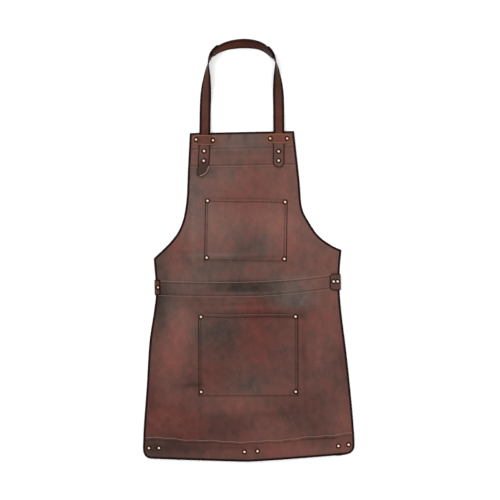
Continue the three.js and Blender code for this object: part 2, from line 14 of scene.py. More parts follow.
import bpy
import numpy as np
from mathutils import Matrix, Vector


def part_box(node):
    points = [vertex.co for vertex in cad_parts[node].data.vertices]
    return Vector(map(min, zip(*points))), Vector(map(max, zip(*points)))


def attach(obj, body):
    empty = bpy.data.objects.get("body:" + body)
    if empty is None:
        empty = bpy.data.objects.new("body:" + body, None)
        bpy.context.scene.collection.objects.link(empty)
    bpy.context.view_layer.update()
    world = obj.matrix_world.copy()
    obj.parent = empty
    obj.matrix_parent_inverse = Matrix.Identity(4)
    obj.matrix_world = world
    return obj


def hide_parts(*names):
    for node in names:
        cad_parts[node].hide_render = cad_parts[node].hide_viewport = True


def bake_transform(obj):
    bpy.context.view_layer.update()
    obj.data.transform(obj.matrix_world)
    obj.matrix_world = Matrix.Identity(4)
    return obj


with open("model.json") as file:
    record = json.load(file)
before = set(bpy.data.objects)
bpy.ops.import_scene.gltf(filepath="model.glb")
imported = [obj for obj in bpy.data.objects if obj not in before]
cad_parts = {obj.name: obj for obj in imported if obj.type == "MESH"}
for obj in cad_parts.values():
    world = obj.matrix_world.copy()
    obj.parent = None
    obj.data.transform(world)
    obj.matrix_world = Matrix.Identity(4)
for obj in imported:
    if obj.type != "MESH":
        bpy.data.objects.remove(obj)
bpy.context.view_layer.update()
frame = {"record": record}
MM = 0.001

# %% [markdown]
# ## Where things are
#
# The pattern was drawn from the middle of the hem, so a sewing pattern's own numbers are used
# here. The left side of the hem is 291.8 mm from that middle, which gives the frame's offset.

# %% The pattern's origin in the frame
HALF_LEFT, HALF_RIGHT = 292.0, 295.0      # from the middle to the widest point of each side
HEM_INSET = 0.2                           # how much less the left side reaches at the hem
BODY_LENGTH = 914.0                       # from the hem to the top edge: 36 inches
TOP_HALF = 144.6
skirt_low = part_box("main_panel_lower")[0]
ORIGIN = np.array([skirt_low[0] / MM + HALF_LEFT - HEM_INSET, skirt_low[1] / MM, 0.0])
print("pattern origin in the frame, mm:", ORIGIN.round(2).tolist())


def to_frame(points):
    """Pattern millimetres to the frame's metres."""
    return (np.asarray(points, float) + ORIGIN) * MM


joints = {joint["name"]: joint for joint in frame["record"]["behaviour"]["joints"]}


def joint_place(name):
    """A joint's point as pattern millimetres."""
    return np.array(joints[name]["pos_m"]) / MM - ORIGIN


FOLD_Y = joint_place("bib_fold")[1]
NECK_HINGE = joint_place("neck_loop_fold")
TAB_HINGE = joint_place("waist_tab_open")

# %% [markdown]
# ## The camera
#
# A flat lay is shot from straight above with a long lens, so that nothing leans outward. The
# apron lies a degree askew under it, which is the camera's roll here.

# %% Camera
VIEW_WIDTH = 1387.0                       # the strip of table in view
VIEW_CENTRE = (15.9, 586.5)
ROLL = math.radians(-1.15)


def add_object(name, data):
    """Puts a new object in the scene, at the origin."""
    made = bpy.data.objects.new(name, data)
    bpy.context.collection.objects.link(made)
    return made


camera_data = bpy.data.cameras.new("camera")
camera_data.sensor_width = 36
camera_data.lens = 110
camera_data.clip_end = 50
camera = add_object("camera", camera_data)
camera_height = VIEW_WIDTH * camera_data.lens / camera_data.sensor_width
camera.location = to_frame([*VIEW_CENTRE, camera_height])
camera.rotation_euler = (0, 0, ROLL)
bpy.context.scene.camera = camera
bpy.context.scene.view_settings.view_transform = "Standard"
print("camera height, m:", round(camera_height * MM, 2))

# %% [markdown]
# ## The table and the light
#
# Leather shows its colour under a broad soft light, and its folds under a weaker one from the
# side. The sky is bright overhead and dark near the horizon, so that a rivet's dome carries a
# bright spot in a dark ring, as metal does in a studio.

# %% Floor, sky and lamps
floor_mesh = bpy.data.meshes.new("floor")
FLOOR_HALF, FLOOR_DROP = 6.0, 0.0004
square = ((-1, -1), (1, -1), (1, 1), (-1, 1))
floor_corners = [(x * FLOOR_HALF, y * FLOOR_HALF, -FLOOR_DROP) for x, y in square]
floor_mesh.from_pydata(floor_corners, [], [(0, 1, 2, 3)])
floor = add_object("floor", floor_mesh)

paper = bpy.data.materials.new("white_paper")
paper.use_nodes = True
paper_looks = {"Base Color": (0.9, 0.9, 0.9, 1), "Roughness": 0.9, "Specular IOR Level": 0.1,
               "Emission Color": (1, 1, 1, 1), "Emission Strength": 0.22}
for socket, value in paper_looks.items():
    paper.node_tree.nodes["Principled BSDF"].inputs[socket].default_value = value
floor_mesh.materials.append(paper)

world = bpy.data.worlds.new("studio")
bpy.context.scene.world = world
world.use_nodes = True
sky = world.node_tree
sky_coords = sky.nodes.new("ShaderNodeTexCoord")
sky_split = sky.nodes.new("ShaderNodeSeparateXYZ")
sky_ramp = sky.nodes.new("ShaderNodeValToRGB")
sky_stops = ((0.35, (0.55, 0.55, 0.56, 1)), (0.95, (1.3, 1.3, 1.3, 1)))
for stop, (height, grey) in zip(sky_ramp.color_ramp.elements, sky_stops):
    stop.position = height
    stop.color = grey
sky.links.new(sky_coords.outputs["Generated"], sky_split.inputs[0])
sky.links.new(sky_split.outputs["Z"], sky_ramp.inputs[0])
sky.links.new(sky_ramp.outputs[0], sky.nodes["Background"].inputs["Color"])
sky.nodes["Background"].inputs["Strength"].default_value = 0.85


def soft_lamp(name, place, size, watts):
    data = bpy.data.lights.new(name, "AREA")
    data.size = size
    data.energy = watts
    lamp = add_object(name, data)
    lamp.location = place
    lamp.rotation_euler = Vector(place).to_track_quat("Z", "Y").to_euler()


soft_lamp("key_lamp", (-1.9, 2.2, 2.6), 1.6, 62)
soft_lamp("fill_lamp", (2.4, -1.2, 2.8), 2.2, 30)

# %% [markdown]
# ## Curves and outlines
#
# The hide's sides are smooth cuts through a few points. A Catmull-Rom curve passes through
# every point it is given, which is how a pattern maker draws an armhole.


# %% Smooth curves through points
def smooth_curve(points, per_stretch, power=0.0):
    """Points along a Catmull-Rom curve; power 0.5 keeps it even where its points are uneven."""
    p = np.asarray(points, float)
    steps = np.linalg.norm(np.diff(p[:, :2], axis=0), axis=1) ** power
    slopes = np.diff(p, axis=0) / steps[:, None]
    tangents = np.vstack([slopes[:1], (slopes[:-1] * steps[1:, None] + slopes[1:] * steps[:-1, None])
                          / (steps[1:] + steps[:-1])[:, None], slopes[-1:]])
    out = [p[:1]]
    u = np.linspace(0, 1, per_stretch + 1)[1:, None]
    for i, step in enumerate(steps):
        ease = (2 * u**3 - 3 * u**2 + 1) * p[i] + (3 * u**2 - 2 * u**3) * p[i + 1]
        pull = (u**3 - 2 * u**2 + u) * tangents[i] + (u**3 - u**2) * tangents[i + 1]
        out.append(ease + pull * step)
    return np.vstack(out)


def run_lengths(line):
    """Distance along a line at each of its points."""
    return np.cumsum(np.linalg.norm(np.diff(line, axis=0, prepend=line[:1]), axis=1))


def along(points, shares):
    """Points at the given shares of a line's length, or so many at even ones."""
    p = np.asarray(points, float)
    run = run_lengths(p[:, :2])
    if isinstance(shares, int):
        shares = np.linspace(0, 1, shares)
    return np.column_stack([np.interp(shares * run[-1], run, p[:, k]) for k in range(p.shape[1])])


def split_at(line, y):
    """A falling line in two, parted exactly at height y."""
    place = float(np.interp(-y, -line[:, 1], np.arange(len(line))))
    whole = int(place)
    point = line[whole] + (line[whole + 1] - line[whole]) * (place - whole)
    return np.vstack([line[:whole + 1], point]), np.vstack([point, line[whole + 1:]])


def unit(vectors):
    return vectors / np.maximum(np.linalg.norm(vectors, axis=-1, keepdims=True), 1e-9)


def smoothstep(value, low, high):
    t = np.clip((value - low) / (high - low), 0, 1)
    return t * t * (3 - 2 * t)


# %% The hide's outline
HEM_RISE, HEM_REACH, HEM_POWER = 13.5, 262.0, 1.2
SIDE_STEPS, CORNER_STEPS = 30, 17         # points to each stretch of a side, and round a corner
SIDES = {
    "left": {
        "sign": -1, "half": HALF_LEFT, "armpit": (40.5, 346.0), "hem_round": 24.0,
        "armhole": [(0.07, 0.31), (0.125, 0.55), (0.256, 0.728), (0.51, 0.855)],
        "side": [(43.5, 520), (45.5, 478), (39, 425), (24, 335), (14, 215), (4, 105), (0.2, 44)],
    },
    "right": {
        "sign": 1, "half": HALF_RIGHT, "armpit": (25.5, 332.6), "hem_round": 33.0,
        "armhole": [(0.095, 0.397), (0.139, 0.631), (0.275, 0.752), (0.492, 0.875), (0.764, 0.955)],
        "side": [(31, 530), (33, 475), (29, 405), (17, 290), (6, 159), (0.5, 70), (0, 42)],
    },
}


def hem_y(x):
    return HEM_RISE * (np.abs(x) / HEM_REACH) ** HEM_POWER


def side_stretches(spec):
    """A side edge in three stretches: armhole, side and round hem corner."""
    sign, half = spec["sign"], spec["half"]
    across = half - spec["armpit"][0] - TOP_HALF
    shares = [(0, 0), *spec["armhole"], (1, 1)]
    armhole = [(sign * (TOP_HALF + u * across), BODY_LENGTH - v * spec["armpit"][1]) for u, v in shares]
    side = [armhole[-1]] + [(sign * (half - inset), y) for inset, y in spec["side"]]
    start = np.array(side[-1], float)
    end_x = start[0] - sign * spec["hem_round"]
    end = np.array([end_x, hem_y(end_x)])
    turn = np.array([start[0], end[1]])
    t = np.linspace(0, 1, CORNER_STEPS)[:, None]
    corner = (1 - t) ** 2 * start + 2 * t * (1 - t) * turn + t**2 * end
    return smooth_curve(armhole, SIDE_STEPS), smooth_curve(side, SIDE_STEPS), corner


def edge_x(side, y):
    """Where a side edge is at height y."""
    line = np.vstack(EDGES[side][:2])[::-1]
    return np.interp(y, line[:, 1], line[:, 0])


EDGES = {name: side_stretches(spec) for name, spec in SIDES.items()}
print("width at the fold, mm:", round(float(edge_x("right", FOLD_Y) - edge_x("left", FOLD_Y)), 1))

# %% [markdown]
# ## Leather as a grid
#
# Every leather piece here is a sheet with a grain side, a flesh side and a soft cut edge. It is
# made from a grid of points on its grain side: the same grid, pushed down by the leather's
# thickness, is the flesh side, and the first rows in from the edge are lowered a little, which
# rounds the cut. Each point also stores what the materials need to know: how far it is from its
# own cut edge, from the hide's edge and from the nearest rivet, which side of the leather it is
# on, whether its cut was left raw, and how red and how light the leather is there.

# %% One sheet of leather
EDGE_ROWS = (0.0, 0.35, 0.9, 2.2)          # the first grid lines in from a cut edge
EDGE_DROP = (0.38, 0.13, 0.02, 0.0)        # how far they sink, as a share of the thickness
MARK_ROWS = (-1.5, -0.8, 0.0, 0.8, 1.5)    # the extra grid lines about a mark
MARK_CLEAR = 1.6                           # no even line comes this close to a mark
FAR = 99.0                                 # any distance that no material asks about
EXACT_REACH = 25.0                         # only this near to an edge is its distance exact
CHUNK = 2000                               # points compared at a time, to spare memory
SEAM_SHADE = 0.3


def graded(length, count, marks=()):
    """Grid lines over a length: even, with extra lines at both cut edges and at each mark."""
    rows = list(np.linspace(EDGE_ROWS[-1], length - EDGE_ROWS[-1], count))
    rows = [r for r in rows if all(abs(r - m) > MARK_CLEAR for m in marks)]
    for mark in marks:
        rows += [mark + step for step in MARK_ROWS]
    rows += [*EDGE_ROWS[:-1], *(length - r for r in EDGE_ROWS[:-1])]
    return np.array(sorted(rows))


def nearest(points, others):
    """How far each point is from the nearest of the others."""
    parts = np.array_split(points, 1 + len(points) // CHUNK)
    gaps = [np.linalg.norm(part[:, None] - others[None], axis=2).min(axis=1) for part in parts]
    return np.concatenate(gaps)


def edge_distance(top):
    """Distance of each grid point from the grid's own outline."""
    outline = np.vstack([top[0], top[-1], top[:, 0], top[:, -1]])
    run_u = np.cumsum(np.linalg.norm(np.diff(top, axis=1, prepend=top[:, :1]), axis=2), axis=1)
    run_v = np.cumsum(np.linalg.norm(np.diff(top, axis=0, prepend=top[:1]), axis=2), axis=0)
    rough = np.minimum.reduce([run_u, run_u[:, -1:] - run_u, run_v, run_v[-1:] - run_v]).ravel()
    near = np.full(len(rough), FAR)
    close = rough < EXACT_REACH
    near[close] = nearest(top.reshape(-1, 3)[close], outline)
    return near


def hide_rim():
    """Points all along the hide's own cut edge, no more than three millimetres apart."""
    across = np.linspace(-TOP_HALF, TOP_HALF, 150)
    top = np.column_stack([across, np.full(len(across), BODY_LENGTH)])
    hem = np.linspace(EDGES["left"][2][-1, 0], EDGES["right"][2][-1, 0], 280)
    sides = [along(line, 200) for side in EDGES.values() for line in side]
    return np.vstack([top, np.column_stack([hem, hem_y(hem)]), *sides])


HIDE_RIM = hide_rim()


def store(mesh, label, values):
    """Stores a number, or a direction, on every point of a mesh."""
    values = np.asarray(values, np.float32)
    kind, field = ("FLOAT_VECTOR", "vector") if values.ndim == 2 else ("FLOAT", "value")
    mesh.attributes.new(label, kind, "POINT").data.foreach_set(field, values.ravel())


def leather_sheet(name, top, thick, material, tone, on_hide=True, raw=1.0, seam=0.0):
    """A closed sheet from its grain-side grid, shape (rows, columns, 3) in pattern millimetres."""
    rows, columns = top.shape[:2]
    normal = unit(np.cross(np.gradient(top, axis=1), np.gradient(top, axis=0)))
    edge = edge_distance(top)
    sink = np.interp(edge, EDGE_ROWS, EDGE_DROP).reshape(rows, columns, 1) * thick
    face = top - normal * sink
    back = top - normal * (thick - sink)
    count = rows * columns
    index = np.arange(count).reshape(rows, columns)
    quads = np.stack([index[:-1, :-1], index[:-1, 1:], index[1:, 1:], index[1:, :-1]], axis=-1)
    quads = quads.reshape(-1, 4)
    loop = np.concatenate([index[0, :-1], index[:-1, -1], index[-1, :0:-1], index[:0:-1, 0]])
    after = np.roll(loop, -1)
    cut_faces = np.column_stack([loop, loop + count, after + count, after])
    faces = np.vstack([quads, quads[:, ::-1] + count, cut_faces])
    vertices = to_frame(np.vstack([face.reshape(-1, 3), back.reshape(-1, 3)]))

    mesh = bpy.data.meshes.new(name)
    mesh.from_pydata(vertices.tolist(), [], faces.tolist())
    mesh.shade_smooth()
    mesh.materials.append(material)
    xy = top[..., :2].reshape(-1, 2)
    red, light = tone(top[..., 0].ravel(), top[..., 1].ravel())
    sunk, raw = (np.broadcast_to(np.asarray(v, float), (rows, columns)).ravel() for v in (seam, raw))
    rim = nearest(xy, HIDE_RIM) if on_hide else np.full(count, FAR)
    numbers = {"edge_mm": edge, "rim_mm": rim, "stud_mm": stud_distance(xy),
               "red": red, "light": light - SEAM_SHADE * sunk, "raw": raw}
    for label, values in numbers.items():
        store(mesh, label, np.tile(values, 2))
    store(mesh, "flesh", np.repeat([0.0, 1.0], count))
    return add_object(name, mesh)


# %% [markdown]
# ## How the hide lies
#
# A tanned hide never lies quite flat. It rests on the rivet burrs and the waist strap behind it
# and sags between them, with slow waves across it. One function gives the height of its back
# everywhere, and every layer sewn on top is laid on the same waves.

# %% The hide's waves
HIDE, TRIM, NECK, WAIST_STRAP, KEEPER = 2.0, 1.8, 3.0, 2.4, 2.2     # leather thicknesses
PLY_GAP = 0.06                                                      # between two sewn layers
HELD_UP = 2.55                                                      # over a burr or the waist strap
BURR_REACH = 15.0                                                   # how far round it a burr lifts
WAIST_Y, WAIST_HALF = 488.0, 21.0

CHEST = {"x": 5.6, "y": BODY_LENGTH - 273.7, "width": 228.0, "height": 175.0, "turn": -2.0,
         "side": 6.5, "top": 6.5, "low": 11.0}
SKIRT = {"x": 5.4, "y": 293.4, "width": 276.0, "height": 230.0, "turn": -1.0,
         "side": 7.0, "top": 6.6, "low": 15.5}
YOKE_STRAPS = {
    "left": {"x": -103.0, "lean": -3.5, "studs": (-42.3, -69.5), "tip": -112.0},
    "right": {"x": 101.9, "lean": -1.4, "studs": (-47.3, -72.8), "tip": -91.5},
}
STRAP_ANCHOR_Y = BODY_LENGTH - 9
KEEPER_DROP = -11.5                         # from the anchor to the keeper's middle
KEEPER_RIVET_X = 23.5
LIP_RIVET_IN = 5.6                          # from the hide's left edge
SNAPS_BACK = (19.1, 7.9)                    # from the tab's hinge
STUD_FAR = 40.0                             # beyond this the nearest rivet does not matter


def turned(x, y, degrees, place):
    angle = math.radians(degrees)
    x, y = np.asarray(x, float), np.asarray(y, float)
    return (place[0] + x * math.cos(angle) - y * math.sin(angle),
            place[1] + x * math.sin(angle) + y * math.cos(angle))


def pocket_point(spec, x, y):
    return turned(x, y, spec["turn"], (spec["x"], spec["y"]))


def strap_point(side, x, y):
    spec = YOKE_STRAPS[side]
    return turned(x, y, spec["lean"], (spec["x"], STRAP_ANCHOR_Y))


def pocket_rivets(spec):
    half = spec["width"] / 2 - spec["side"]
    top, low = spec["height"] / 2 - spec["top"], spec["low"] - spec["height"] / 2
    return [pocket_point(spec, x, y) for x, y in ((-half, top), (half, top), (-half, low), (half, low))]


hem_rivets = [(-11, 28), (25.3, 29), (17 - HALF_LEFT, 43.5), (44.7 - HALF_LEFT, 43.2),
              (HALF_RIGHT - 45.2, 39), (HALF_RIGHT - 17.2, 42)]
keeper_rivets = [strap_point(side, x, KEEPER_DROP) for side in YOKE_STRAPS
                 for x in (-KEEPER_RIVET_X, KEEPER_RIVET_X)]
neck_studs = [strap_point(side, 0, y) for side, spec in YOKE_STRAPS.items() for y in spec["studs"]]
lip_rivet = (float(edge_x("left", WAIST_Y)) + LIP_RIVET_IN, WAIST_Y)
snaps = [(TAB_HINGE[0] - back, TAB_HINGE[1]) for back in SNAPS_BACK]
burrs = [*hem_rivets, *pocket_rivets(CHEST), *pocket_rivets(SKIRT), *keeper_rivets, *neck_studs]
STUDS = np.array([*burrs, lip_rivet, *snaps])


def stud_distance(xy):
    """How far each point is from the nearest rivet or snap."""
    return np.minimum(nearest(xy, STUDS), STUD_FAR)


def hide_back(x, y):
    """Height of the hide's back over the table."""
    waves = 1.7 + 0.75 * np.sin(x / 61 + 0.7) * np.sin(y / 83 + 1.1) + 0.45 * np.sin((x + y) / 47)
    waves = waves + 0.3 * np.sin((x - 0.6 * y) / 29 + 2.0) + 0.25 * np.sin(y / 24 + x / 90)
    held = np.exp(-(((y - WAIST_Y - 2.5) / (WAIST_HALF + 12)) ** 4))
    for bx, by in burrs:
        held = np.maximum(held, np.exp(-((x - bx) ** 2 + (y - by) ** 2) / (2 * BURR_REACH**2)))
    return np.maximum(waves, 0.35) * (1 - held) + HELD_UP * held


def hide_top(x, y):
    return hide_back(x, y) + HIDE


# %% [markdown]
# ## The colour of a pull-up hide
#
# Oiled leather is charcoal where its wax is thick, redder where it was rubbed or pulled, and each
# of these may be lighter or darker. Those clouds are a hand's width across and run on under the
# stitching, so they are listed one by one over the whole pattern. Each cloud is a place, a reach
# across and up, how far it goes towards red (+) or charcoal (-), and how light it is.

# %% Clouds of colour
CLOUDS = [
    (0, 860, 170, 36, 0, -0.08), (0, 890, 50, 22, -0.9, -0.03), (100, 898, 30, 14, 0.7, 0.04),
    (-122, 860, 20, 40, 0, -0.04), (-60, 800, 36, 26, -0.5, -0.02), (52, 800, 40, 34, 0.35, 0.02),
    (-140, 745, 30, 60, -0.8, -0.08), (-104, 806, 22, 14, -0.4, -0.16), (34, 735, 62, 44, 0.55, -0.02),
    (-40, 725, 44, 34, 0.4, 0.05), (84, 690, 44, 34, 0.45, 0.12), (98, 650, 36, 30, 0.2, 0.12),
    (-84, 660, 46, 44, -0.3, 0.06), (12, 600, 36, 34, -0.3, -0.16), (58, 602, 24, 30, -0.5, -0.06),
    (118, 606, 40, 34, 0.5, 0.08), (-55, 553, 60, 16, -0.6, -0.11), (-190, 590, 30, 26, 0.4, -0.04),
    (-244, 560, 22, 56, -0.5, -0.2), (-12, 485, 62, 12, -0.7, -0.3), (44, 478, 60, 20, -0.8, -0.14),
    (-238, 478, 20, 22, -0.3, -0.2), (140, 484, 44, 22, -0.6, 0.06), (-140, 500, 60, 24, -0.4, 0.05),
    (-238, 408, 22, 44, -1.3, -0.28), (-200, 430, 26, 30, -0.8, -0.02), (-162, 392, 34, 34, 0.1, 0.14),
    (28, 430, 40, 28, 1, 0), (-40, 444, 40, 16, 0.3, 0.12), (138, 446, 44, 18, -1.6, -0.02),
    (90, 404, 56, 9, -0.4, -0.2), (244, 400, 44, 74, 0.4, 0.16), (-72, 372, 50, 32, -1.2, -0.18),
    (-130, 372, 18, 30, -0.5, -0.06), (-196, 340, 36, 46, 0.3, 0.2), (34, 345, 40, 48, 1, 0.03),
    (-66, 320, 40, 30, -0.4, -0.12), (-220, 250, 50, 40, 0.3, 0.12), (-90, 250, 30, 26, 0.9, 0.02),
    (-270, 205, 20, 50, 0.1, -0.14), (6, 214, 44, 26, -1, -0.1), (-160, 235, 26, 22, -0.4, -0.14),
    (110, 200, 50, 18, 0, 0.08), (-10, 160, 60, 26, 0.2, 0.14), (130, 150, 60, 40, 0, -0.1),
    (-232, 112, 56, 36, 1.4, 0.03), (-170, 92, 34, 22, 0.9, 0.02), (-62, 96, 60, 30, 0, -0.16),
    (62, 88, 50, 26, 0.2, 0.12), (200, 92, 30, 34, -0.5, -0.12), (-262, 44, 54, 22, -1.2, -0.25),
    (190, 24, 100, 12, 0, 0.1), (220, 290, 40, 50, -0.35, -0.02), (-165, 44, 56, 18, -0.3, -0.2),
    (60, 36, 110, 22, 0.5, 0.08), (262, 110, 30, 40, 0, 0.1), (276, 290, 20, 40, 0.1, -0.1),
    (150, 345, 40, 40, 0.2, 0.04),
    # creases and scuffs, long in one direction and narrow in the other: a crease's dark and light streaks
    # are painted shade and painted highlight, a scuff is the leather's own colour
    (-152, 216, 26, 5, -0.4, -0.22), (-60, 438, 80, 3, -0.3, -0.1), (-30, 426, 60, 3, 0.3, 0.08),
    (-95, 449, 50, 3, -0.3, -0.1), (-20, 500, 90, 3, 0, -0.12), (20, 466, 70, 3, -0.3, 0.1),
    (-80, 574, 60, 4, -0.4, 0.1), (40, 566, 50, 4, 0.3, -0.1), (160, 300, 5, 70, 0.2, -0.08),
    (-140, 640, 5, 50, -0.2, 0.07), (30, 845, 60, 4, 0.2, 0.08), (-30, 870, 50, 4, -0.3, 0.08),
    (-34, 905, 5, 14, 0, -0.1), (8, 900, 5, 16, 0.2, -0.12), (-60, 180, 60, 5, 0.2, 0.08),
    (60, 130, 60, 5, -0.2, -0.08), (210, 60, 40, 4, 0, -0.1), (-30, 40, 50, 5, 0.2, -0.1),
    (140, 506, 60, 4, -0.2, 0.08), (200, 330, 5, 50, 0.1, 0.07),
]


def hide_tone(x, y):
    red = 0.35 - 0.48 * smoothstep(y, 380, 520)
    light = -0.05 + 0.14 * smoothstep(y, 430, 660)
    for cx, cy, reach_x, reach_y, redder, lighter in CLOUDS:
        share = np.exp(-0.5 * (((x - cx) / reach_x) ** 2 + ((y - cy) / reach_y) ** 2))
        red = red + redder * share
        light = light + lighter * share
    return np.clip(red, -1.4, 1.4), np.clip(light, -0.4, 0.4)


def strap_tone(x, y):
    return 0.5 + 0.5 * np.sin(x / 37 + y / 53), 0.08 * np.sin(y / 41 + x / 29)


# %% [markdown]
# ## The leather's surface
#
# One recipe makes every leather. The clouds stored on the mesh choose between charcoal, brown
# and red; noise at three sizes breaks that up; a fine pebble and longer creases raise it; and the
# cut edge is burnished dark, widened by painted shade, or left pale, with a painted highlight.
# Painted shade, with some stain, darkens the leather along the hide's outline and round each rivet.
# The flesh side is a rough, fuzzy suede.


# %% A small language for shader nodes
class Recipe:
    """Builds a node tree step by step; each call adds one node and returns its output."""

    def __init__(self, name):
        self.material = bpy.data.materials.new(name)
        self.material.use_nodes = True
        self.tree = self.material.node_tree
        self.shader = self.tree.nodes["Principled BSDF"]
        self.where = self.add("ShaderNodeTexCoord").outputs["Object"]

    def add(self, kind, **settings):
        node = self.tree.nodes.new(kind)
        for key, value in settings.items():
            setattr(node, key, value)
        return node

    def feed(self, socket, value):
        if isinstance(value, bpy.types.NodeSocket):
            self.tree.links.new(value, socket)
        else:
            socket.default_value = value

    def attribute(self, label):
        return self.add("ShaderNodeAttribute", attribute_name=label).outputs["Fac"]

    def noise(self, scale, detail=3.0, roughness=0.55, stretch=None, distortion=0.0):
        node = self.add("ShaderNodeTexNoise")
        place = self.where
        if stretch:
            mapping = self.add("ShaderNodeMapping")
            mapping.inputs["Scale"].default_value = stretch
            self.feed(mapping.inputs["Vector"], self.where)
            place = mapping.outputs[0]
        settings = {"Vector": place, "Scale": scale, "Detail": detail, "Roughness": roughness,
                    "Distortion": distortion}
        for key, value in settings.items():
            self.feed(node.inputs[key], value)
        return node.outputs["Fac"]

    def cells(self, scale):
        node = self.add("ShaderNodeTexVoronoi")
        self.feed(node.inputs["Vector"], self.where)
        node.inputs["Scale"].default_value = scale
        return node.outputs["Distance"]

    def math(self, operation, a, b=0.0, clamp=False):
        node = self.add("ShaderNodeMath", operation=operation, use_clamp=clamp)
        self.feed(node.inputs[0], a)
        self.feed(node.inputs[1], b)
        return node.outputs[0]

    def sway(self, value, noise, reach):
        """The value, moved up and down with a noise by half of reach at most."""
        return self.math("ADD", value, self.math("MULTIPLY", self.math("SUBTRACT", noise, 0.5), reach))

    def spread(self, value, low, high, out_low=0.0, out_high=1.0):
        node = self.add("ShaderNodeMapRange", interpolation_type="SMOOTHSTEP")
        settings = {"Value": value, "From Min": low, "From Max": high, "To Min": out_low, "To Max": out_high}
        for key, item in settings.items():
            self.feed(node.inputs[key], item)
        return node.outputs["Result"]

    def scaled(self, color, factor):
        node = self.add("ShaderNodeVectorMath", operation="SCALE")
        self.feed(node.inputs[0], color)
        self.feed(node.inputs["Scale"], factor)
        return node.outputs[0]

    def mix(self, factor, a, b):
        node = self.add("ShaderNodeMix", data_type="RGBA", clamp_factor=True)
        self.feed(node.inputs["Factor"], factor)
        self.feed(node.inputs[6], a)
        self.feed(node.inputs[7], b)
        return node.outputs[2]

    def bump(self, height, distance, strength=1.0, under=None):
        node = self.add("ShaderNodeBump")
        self.feed(node.inputs["Height"], height)
        node.inputs["Distance"].default_value = distance
        node.inputs["Strength"].default_value = strength
        if under is not None:
            self.feed(node.inputs["Normal"], under)
        return node.outputs[0]

    def finish(self, color, roughness, normal, **sockets):
        self.feed(self.shader.inputs["Base Color"], color)
        self.feed(self.shader.inputs["Roughness"], roughness)
        self.feed(self.shader.inputs["Normal"], normal)
        for label, value in sockets.items():
            self.shader.inputs[label.replace("_", " ")].default_value = value
        return self.material


# %% The leather recipe
SUEDE_DARK, SUEDE_PALE = (0.12, 0.062, 0.04, 1), (0.22, 0.125, 0.08, 1)
BROWN, RED, CHARCOAL = (0.120, 0.057, 0.046, 1), (0.120, 0.039, 0.032, 1), (0.116, 0.081, 0.069, 1)
BURNISH_AND_SHADE, PALE_CUT_AND_HIGHLIGHT = (0.012, 0.0025, 0.002, 1), (0.24, 0.14, 0.105, 1)
RIM_STAIN_AND_SHADE, STUD_STAIN_AND_SHADE = (7.4, 5.4), (8.6, 6.8)    # where the dark along an edge or a rivet ends


def leather(name, tones, cut, cut_width=1.5, dark_width=0.4, pull=0.5, gloss=0.5, nap=1.0):
    """A leather in three tones, brown, red and charcoal.

    cut colours a raw edge, which on pale cuts also stands for a painted highlight, and dark_width is
    how wide the dark edge is, a burnish with painted shade on it; pull is for rubbed streaks, and nap
    is how pale the suede of the flesh side is.
    """
    r = Recipe(name)
    brown, red, charcoal = tones
    edge, flesh = r.attribute("edge_mm"), r.attribute("flesh")
    broad = r.noise(13.0, 5.0, 0.62, distortion=0.5)
    middle = r.noise(48.0, 5.0, 0.68, stretch=(1.0, 0.7, 1.0))
    fine = r.noise(300.0, 3.0, 0.65)
    cloud = r.sway(r.sway(r.attribute("red"), broad, 2.2), middle, 1.5)
    color = r.mix(r.math("MULTIPLY", cloud, 0.8, clamp=True), brown, red)
    color = r.mix(r.math("MULTIPLY", cloud, -0.8, clamp=True), color, charcoal)
    light = r.sway(r.sway(r.sway(r.attribute("light"), middle, 0.5), broad, 0.35), fine, 0.16)
    streaks = r.noise(60.0, 5.0, 0.7, stretch=(0.4, 1.2, 1.0), distortion=1.4)
    light = r.math("ADD", light, r.math("MULTIPLY", r.spread(streaks, 0.6, 0.8), pull * 0.3))
    color = r.scaled(color, r.math("POWER", r.math("ADD", light, 1.0), 2.2))
    suede = r.mix(r.spread(r.noise(420.0, 3.0, 0.7), 0.3, 0.7), SUEDE_DARK, SUEDE_PALE)
    suede = r.scaled(suede, nap)
    color = r.mix(r.math("MULTIPLY", flesh, r.spread(edge, 0.0, 0.6)), color, suede)
    # the burnished cut, widened on pockets and straps into painted shade along the edge
    color = r.mix(r.spread(edge, dark_width, dark_width * 0.6), color, BURNISH_AND_SHADE)
    # pale raw cut, cut_width wide; on trim bands and pocket mouths it is also a painted highlight where the
    # edge catches the light
    raw_edge_and_highlight = r.math("MULTIPLY", r.spread(edge, cut_width, cut_width * 0.6), r.attribute("raw"))
    color = r.mix(raw_edge_and_highlight, color, cut)
    # painted shade: near black along the hide's outline, a dyed edge with painted shade of the edge's
    # thickness on it
    color = r.mix(r.spread(r.attribute("rim_mm"), *RIM_STAIN_AND_SHADE), color, BURNISH_AND_SHADE)
    # painted shadow ring round each rivet and snap, with some stain pressed into the leather
    color = r.mix(r.math("MULTIPLY", r.spread(r.attribute("stud_mm"), *STUD_STAIN_AND_SHADE), 0.8), color, BURNISH_AND_SHADE)
    normal = r.bump(r.noise(11.0, 2.0, 0.5, distortion=0.6), 0.005, 0.8)
    creases = r.noise(95.0, 5.0, 0.62, stretch=(1.0, 0.6, 1.0), distortion=0.8)
    normal = r.bump(creases, 0.0010, 0.6, under=normal)
    normal = r.bump(r.cells(560.0), 0.0003, 0.5, under=normal)
    rough = r.spread(middle, 0.3, 0.75, gloss - 0.07, gloss + 0.12)
    rough = r.math("MAXIMUM", rough, r.math("MULTIPLY", flesh, 0.9))
    return r.finish(color, rough, normal, Specular_IOR_Level=0.06)


